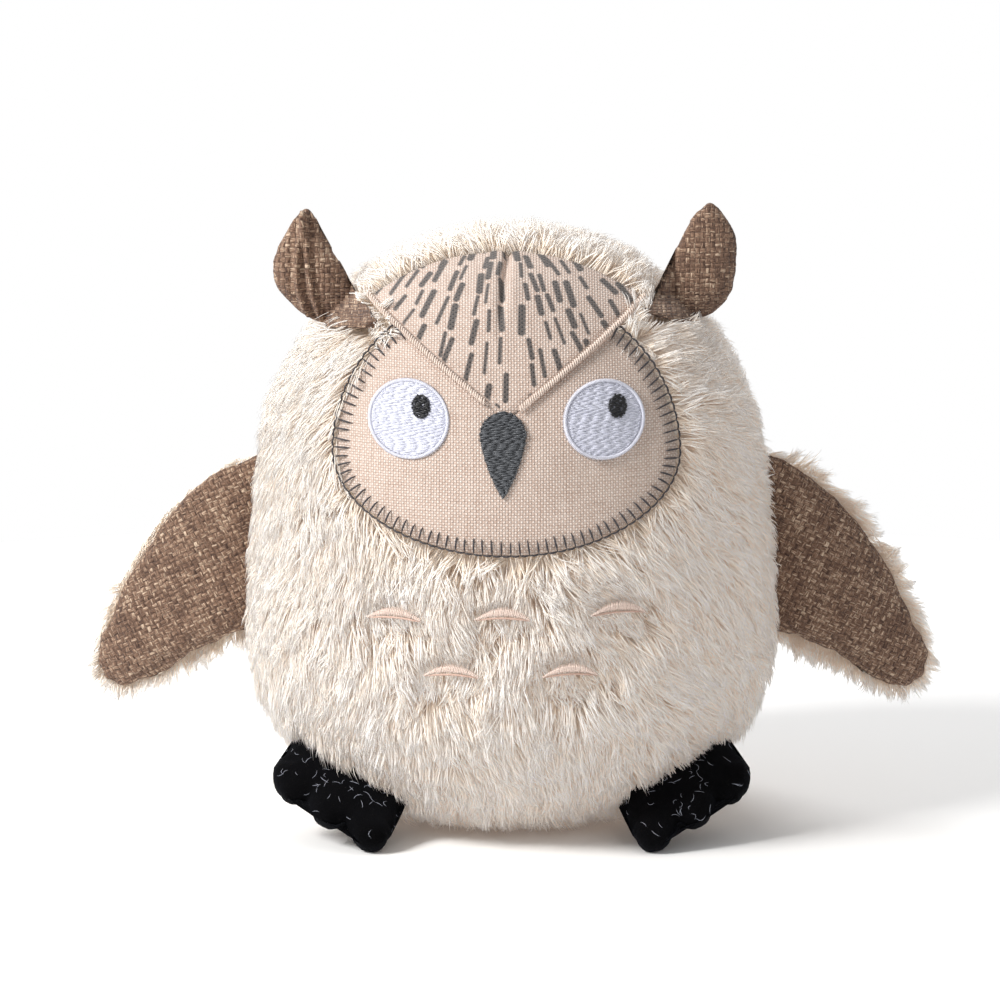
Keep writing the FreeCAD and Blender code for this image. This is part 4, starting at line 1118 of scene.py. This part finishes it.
def swell(piece, pinned, pressure):
    """Blows up the two sewn layers with cloth simulation, enlarged for its accuracy."""
    set_points(piece, get_points(piece) * SWELL_SCALE)
    group = piece.vertex_groups.new(name="sewn_on")
    group.add([int(i) for i in pinned], 1.0, "REPLACE")
    cloth = piece.modifiers.new("stuffing", "CLOTH")
    settings = cloth.settings
    settings.quality = 6
    settings.mass = 0.25
    settings.tension_stiffness = settings.compression_stiffness = 25
    settings.shear_stiffness = 12
    settings.bending_stiffness = 0.6
    settings.air_damping = 4
    settings.use_pressure = True
    settings.uniform_pressure_force = pressure
    settings.vertex_group_mass = "sewn_on"
    settings.effector_weights.gravity = 0
    cloth.collision_settings.use_collision = False
    cloth.point_cache.frame_start, cloth.point_cache.frame_end = 1, SWELL_FRAMES
    for number in range(1, SWELL_FRAMES + 1):
        bpy.context.scene.frame_set(number)
    freeze(piece)
    bpy.context.scene.frame_set(1)
    set_points(piece, get_points(piece) / SWELL_SCALE)


def stuffed_pad(name, outline, thick, step, materials, pinned_where, pressure, crown=0.84, grain=0.0):
    """Pad sewn from two layers, in the plane of its outline. crown is the share of the way to its middle that
    its flanks rise over, and grain is the turn of its weave in degrees."""
    flat, faces, edge = fill_outline(outline, step)
    gap = nearest(flat, resample(outline, 0.4))[0]
    swollen = thick / 2 * np.sqrt(np.clip(1 - (1 - np.clip(gap / (crown * gap.max()), 0, 1)) ** 2, 0, 1))
    count = len(flat)
    under_index = np.concatenate([np.arange(edge), count + np.arange(count - edge)])
    under_faces = under_index[faces][:, ::-1]
    uv = np.vstack([flat, flat[edge:]])
    height = np.concatenate([swollen, -swollen[edge:]])
    start = 0.7
    points = np.column_stack([uv, height * start])
    piece = new_object(name, points, list(faces) + list(under_faces), materials)
    cosine, sine = math.cos(math.radians(grain)), math.sin(math.radians(grain))
    set_cloth_uv(piece.data, uv @ np.array([[cosine, sine], [-sine, cosine]]))
    layer = np.array([0] * len(faces) + [len(materials) - 1] * len(under_faces), np.int32)
    piece.data.polygons.foreach_set("material_index", layer)
    rest = np.column_stack([uv, height])
    swell(piece, np.flatnonzero(pinned_where(uv) & (np.abs(height) < 0.2 * thick)), pressure)
    points = get_points(piece) / MM
    points[:, 2] *= thick / 2 / np.percentile(np.abs(points[:, 2]), 99.5)
    low, high = points[:, :2].min(0), points[:, :2].max(0)
    points[:, :2] = uv.min(0) + (points[:, :2] - low) / (high - low) * (uv.max(0) - uv.min(0))
    points = rest + np.clip(points - rest, -3.0, 3.0)
    set_points(piece, points * MM)
    return piece


def settle(piece, place, relief):
    """Refines the pad, adds its sewn relief, and puts it in its place. place turns (u, v, height) in the
    plane of the outline into the part's frame."""
    divide = piece.modifiers.new("round", "SUBSURF")
    divide.levels = divide.render_levels = 1
    freeze(piece)
    points = get_points(piece) / MM
    points = points + get_points(piece, "normal") * relief(points)[:, None]
    set_points(piece, place(points) * MM)


def wing_plane(mirrored):
    """Plane of a wing: u along X, v along Z, and height towards the front."""
    sign = -1 if mirrored else 1

    def place(points):
        return np.column_stack([sign * points[:, 0], -points[:, 2], points[:, 1]])
    return place


def make_wings():
    rng = np.random.default_rng(41)
    outline = smooth_curve(WING_EDGE)
    for side in ("left", "right"):
        mirrored = side == "left"
        piece = stuffed_pad(side + "_wing_pad", outline, WING_THICK - 1.5, 2.0, [LINEN, BACKING],
                            lambda uv: uv[:, 0] < 70.0, 6.0, grain=24.0)
        folds = rng.uniform(0, 6.28, 3)

        def relief(points, folds=folds):
            x, z = points[:, 0], points[:, 1]
            seam = nearest(points[:, :2], resample(outline, 0.8))[0]
            puckers = 0.35 * np.sin((x + z) * 0.9 + folds[0]) * np.exp(-seam / 3.0)
            soft = 0.5 * np.sin(x * 0.13 + folds[1]) * np.sin(z * 0.11 + folds[2])
            return puckers + soft
        settle(piece, wing_plane(mirrored), relief)
        if mirrored:
            piece.data.flip_normals()
        attach(piece, "linen", side + "_wing", side + "_wing_linen", side + "_wing_fill")
        wing_pile(side, outline, rng)


def wing_pile(side, outline, rng):
    """Pile on the back of the wing, brushed outwards and down so that it shows round the edge."""
    sign = -1.0 if side == "left" else 1.0
    edge = resample(outline, 0.8)
    low, high = outline.min(0), outline.max(0)
    spots = low + (high - low) * rng.random((WING_LOCKS * 2, 2))
    spots = spots[inside(spots, edge)][:WING_LOCKS]
    gap, index = nearest(spots, edge)
    to_edge = unit(edge[index] - spots + 1e-6)
    rim = 1 - smoothstep(gap, 0, 7)
    flow = np.column_stack([np.full(len(spots), 0.45), np.full(len(spots), -0.9)])
    if side == "left":
        rim *= to_edge[:, 1] < 0.2
    flow = unit(unit(flow) * (1 - 0.6 * rim)[:, None] + to_edge * (rim * 0.8)[:, None])
    back = WING_THICK / 2 * np.sqrt(np.clip(1 - (1 - np.clip(gap / 16, 0, 1)) ** 2, 0, 1))
    centres = np.column_stack([sign * spots[:, 0], back * 0.85 - 1.0, spots[:, 1]])
    lean = to_edge * rim[:, None]
    normals = unit(np.column_stack([sign * lean[:, 0] * 0.8, np.ones(len(spots)), lean[:, 1] * 0.8]))
    flows = np.column_stack([sign * flow[:, 0], np.zeros(len(spots)), flow[:, 1]])
    flows = laid_flat(flows, normals)

    def place_root(owner, offset):
        return centres[owner] + offset, normals[owner]

    _, paths, upright, tones, girth = clumped_pile(
        rng, centres, normals, flows, 8.4 - 3.6 * rim, 2.6 - 1.2 * rim, WING_LOCK_RADIUS, WING_LOCK_STRANDS,
        place_root)
    root_in = inside(np.column_stack([sign * paths[:, 0, 0], paths[:, 0, 2]]), edge)
    chosen = np.flatnonzero(root_in)[:STRAND_LIMIT]
    pile = strand_mesh(side + "_wing_pile", paths[chosen], upright[chosen], girth[chosen], tones[chosen])
    attach(pile, "fur", side + "_wing", side + "_wing_fur")


def make_ears():
    for side, edge in EAR_EDGES.items():
        outline = smooth_curve(edge)
        low_line = (edge[0][1] + edge[-1][1]) / 2 + 5.0
        piece = stuffed_pad(side + "_ear_pad", outline, EAR_THICK - 0.5, 1.5, [LINEN],
                            lambda uv, low_line=low_line: uv[:, 1] < low_line, 5.0)
        tip = np.array(edge[5], float)
        bases = ([(-57.5, 137.5), (-54.0, 137.5)] if side == "left" else [])
        curves = [smooth_curve([tip - (0.5, 2), (base[0] - 3.6, 157), base]) for base in bases]
        seams = [resample(curve, 0.5, closed=False) for curve in curves]

        def relief(points, seams=seams):
            amount = 0.3 * np.sin(points[:, 0] * 0.35) * np.sin(points[:, 1] * 0.21)
            for seam in seams:
                gap = nearest(points[:, :2], seam)[0]
                ridge = 1.3 * np.exp(-(gap / 0.8) ** 2) - 0.5 * np.exp(-((gap - 1.6) / 0.7) ** 2)
                amount = amount + smoothstep(points[:, 2], 0.3, 1.5) * ridge
            return amount
        settle(piece, ear_plane, relief)
        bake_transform(piece)
        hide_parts(side + "_ear")


def foot_plane(mirrored):
    """Plane of a foot: u along the sewn edge, v towards the toes, and height upwards."""
    middle = np.array((FOOT_SEAM[0] + FOOT_SEAM[1]) / 2)
    across = unit(np.array(FOOT_SEAM[0] - FOOT_SEAM[1]))
    along = unit(np.array(TOES_TO))
    normal = unit(np.cross(along, across))
    sign = np.array([-1.0 if mirrored else 1.0, 1.0, 1.0])

    def place(points):
        world = middle + points[:, 0:1] * across + points[:, 1:2] * along + points[:, 2:3] * normal
        world[:, 2] = np.maximum(world[:, 2], 0.15)
        return world * sign
    return place


def foot_outline():
    third, side_end = FOOT_HALF / 3, 0.6 * TOE_LENGTH
    lobes = [((-FOOT_HALF, side_end), (-2.1 * third, TOE_LENGTH), (-third, TOE_NOTCH)),
             ((-third, TOE_NOTCH), (0, TOE_LENGTH + 0.5), (third, TOE_NOTCH)),
             ((third, TOE_NOTCH), (2.1 * third, TOE_LENGTH), (FOOT_HALF, side_end))]
    points = [arc_points(*lobe, 16)[:-1] for lobe in lobes]
    return np.vstack(points + [[(FOOT_HALF, side_end), (FOOT_HALF - 1, -7.0), (1 - FOOT_HALF, -7.0)]])


def make_feet():
    rng = np.random.default_rng(53)
    outline = foot_outline()
    for side in ("left", "right"):
        mirrored = side == "left"
        piece = stuffed_pad(side + "_foot_pad", outline, FOOT_THICK - 1.0, 1.7, [VELOUR],
                            lambda uv: uv[:, 1] < -4.0, 4.0, crown=0.22)
        settle(piece, foot_plane(mirrored),
               lambda points: 0.35 * np.sin(points[:, 0] * 0.31 + 1) * np.sin(points[:, 1] * 0.27 + 2))
        if not mirrored:
            piece.data.flip_normals()
        attach(piece, "velour", side + "_foot", side + "_foot_velour", side + "_foot_fill")
        lint(side, piece, rng)


def lint(side, foot, rng):
    """A few pale hairs caught in the velour."""
    points = get_points(foot) / MM
    normals = get_points(foot, "normal")
    upper = np.flatnonzero((normals[:, 2] > 0.1) & (points[:, 2] > 3.0))
    threads = Threads(3)
    for i in rng.choice(upper, LINT_HAIRS, replace=False):
        ahead = unit(np.cross(normals[i], rng.standard_normal(3)))
        bend = np.cross(normals[i], ahead) * rng.normal(0, 0.5)
        t = np.linspace(-1, 1, 5)[:, None]
        length = rng.uniform(0.6, 1.6)
        line = points[i] + normals[i] * (0.12 + 0.25 * rng.random()) + ahead * t * length + bend * t ** 2
        threads.add(line, LINT_RADIUS, normals[i])
    piece = threads.build(side + "_foot_lint", [LINT])
    attach(piece, "velour", side + "_foot")


# ==== parts carried over from the frame ============================================================
# Each finish: its dark and light tone, roughness, metal, and the nodes that have it.
FINISHES = {
    "ivory_shell": ((206, 200, 188), (226, 221, 211), 0.5, 0.0,
                    "core_front_shell core_back_shell battery_box battery_door"),
    "grey_frame": ((96, 100, 106), (124, 128, 134), 0.45, 0.0,
                   "gear_plate gear_cover left_wing_arm right_wing_arm press_switch_base"),
    "acetal_gears": ((214, 214, 208), (238, 238, 232), 0.4, 0.0, "left_drive_gear right_drive_gear "
                     "compound_gear left_rack right_rack left_wing_paddle right_wing_paddle"),
    "black_switch": ((22, 22, 24), (44, 44, 47), 0.45, 0.0, "power_switch_slider press_switch_cap"),
    "steel": ((150, 152, 156), (196, 198, 202), 0.3, 1.0,
              "motor_can core_screws steel_pins battery_door_screw"),
    "plated_contacts": ((176, 160, 120), (216, 204, 168), 0.32, 1.0, "battery_contacts motor_pinion"),
    "silicone": ((160, 160, 164), (196, 196, 200), 0.6, 0.0, "press_switch_dome"),
    "green_board": ((20, 74, 46), (34, 104, 66), 0.4, 0.0, "circuit_board"),
    "speaker_cone": ((20, 20, 22), (38, 38, 40), 0.7, 0.0, "speaker"),
    "battery_wrap": ((44, 70, 120), (66, 96, 150), 0.35, 0.0, "battery_cells"),
    "lead_sleeve": ((150, 30, 30), (190, 50, 46), 0.45, 0.0, "inner_leads"),
}


def repaint(nodes, material):
    for name in nodes.split():
        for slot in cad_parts[name].material_slots:
            slot.material = material


def repaint_frame():
    """Gives the carried-over parts their finishes."""
    for finish, (dark, light, roughness, metal, nodes) in FINISHES.items():
        repaint(nodes, hard_material(finish, srgb(*dark), srgb(*light), roughness, metal))
    cloth = plain_cloth_material("base_cloth_weave", srgb(206, 190, 170), srgb(234, 222, 206))
    repaint("base_panel back_flap", cloth)
    wool = plain_cloth_material("fibre_stuffing", srgb(224, 222, 216), srgb(250, 249, 246), 420.0)
    repaint("fibre_fill", wool)


# ==== stage =======================================================================================
def look_at(piece, target):
    direction = Vector(target) - piece.location
    piece.rotation_euler = direction.to_track_quat("-Z", "Y").to_euler()


def light_from_room(tree):
    """Soft light from all round, behind a backdrop that is plain white to the eye."""
    backdrop = tree.nodes["Background"]
    backdrop.inputs["Color"].default_value = (1.0, 1.0, 1.0, 1.0)
    path = tree.nodes.new("ShaderNodeLightPath")
    strength = tree.nodes.new("ShaderNodeMix")
    strength.inputs["A"].default_value = 0.5
    strength.inputs["B"].default_value = 1.0
    tree.links.new(path.outputs["Is Camera Ray"], strength.inputs["Factor"])
    tree.links.new(strength.outputs["Result"], backdrop.inputs["Strength"])


def make_stage():
    """White floor, soft daylight from the upper left and the camera."""
    turn = np.linspace(0, 2 * math.pi, 96, endpoint=False)
    rim = np.stack([500 * np.cos(turn), 500 * np.sin(turn), 0 * turn], 1)
    s = Shader("studio_floor", Roughness=0.9)
    s.colour(s.ramp(s.noise(s.place(), 4.0, 2.0), (0.0, srgb(250, 250, 250)), (1.0, srgb(253, 253, 253))))
    floor = new_object("studio_floor", rim, [tuple(range(len(rim)))], [s.material])
    world = bpy.data.worlds.new("studio")
    world.use_nodes = True
    light_from_room(world.node_tree)
    scene = bpy.context.scene
    scene.world = world
    scene.view_settings.view_transform = "Standard"
    for name, place, size, power, colour in (
            ("key", (-0.95, -0.55, 0.9), 0.5, 21.0, (1.0, 0.99, 0.97)),
            ("fill", (0.1, -1.3, 0.5), 0.9, 1.0, (1.0, 0.97, 0.96)),
            ("rim", (-0.2, 0.9, 0.9), 0.8, 8.0, (1.0, 1.0, 1.0))):
        data = bpy.data.lights.new(name, "AREA")
        data.shape, data.size, data.energy, data.color = "DISK", size, power, colour
        lamp = bpy.data.objects.new(name, data)
        lamp.location = place
        scene.collection.objects.link(lamp)
        look_at(lamp, (0, 0, 0.08))
    data = bpy.data.cameras.new("camera")
    data.sensor_width = CAMERA["sensor"]
    data.lens = CAMERA["sensor"] * CAMERA["distance"] / CAMERA["width"]
    data.clip_start, data.clip_end = 0.05, 20.0
    camera = bpy.data.objects.new("camera", data)
    tilt = math.radians(CAMERA["elevation"])
    target = Vector(CAMERA["target"]) * MM
    camera.location = target + Vector((0, -math.cos(tilt), math.sin(tilt))) * CAMERA["distance"] * MM
    scene.collection.objects.link(camera)
    look_at(camera, target)
    scene.camera = camera


make_stage()
repaint_frame()
skin_backing()
body_pile()
make_face_panels()
make_eyes()
make_beak()
make_piping()
make_blanket_stitch()
make_feathers()
make_wings()
make_ears()
make_feet()
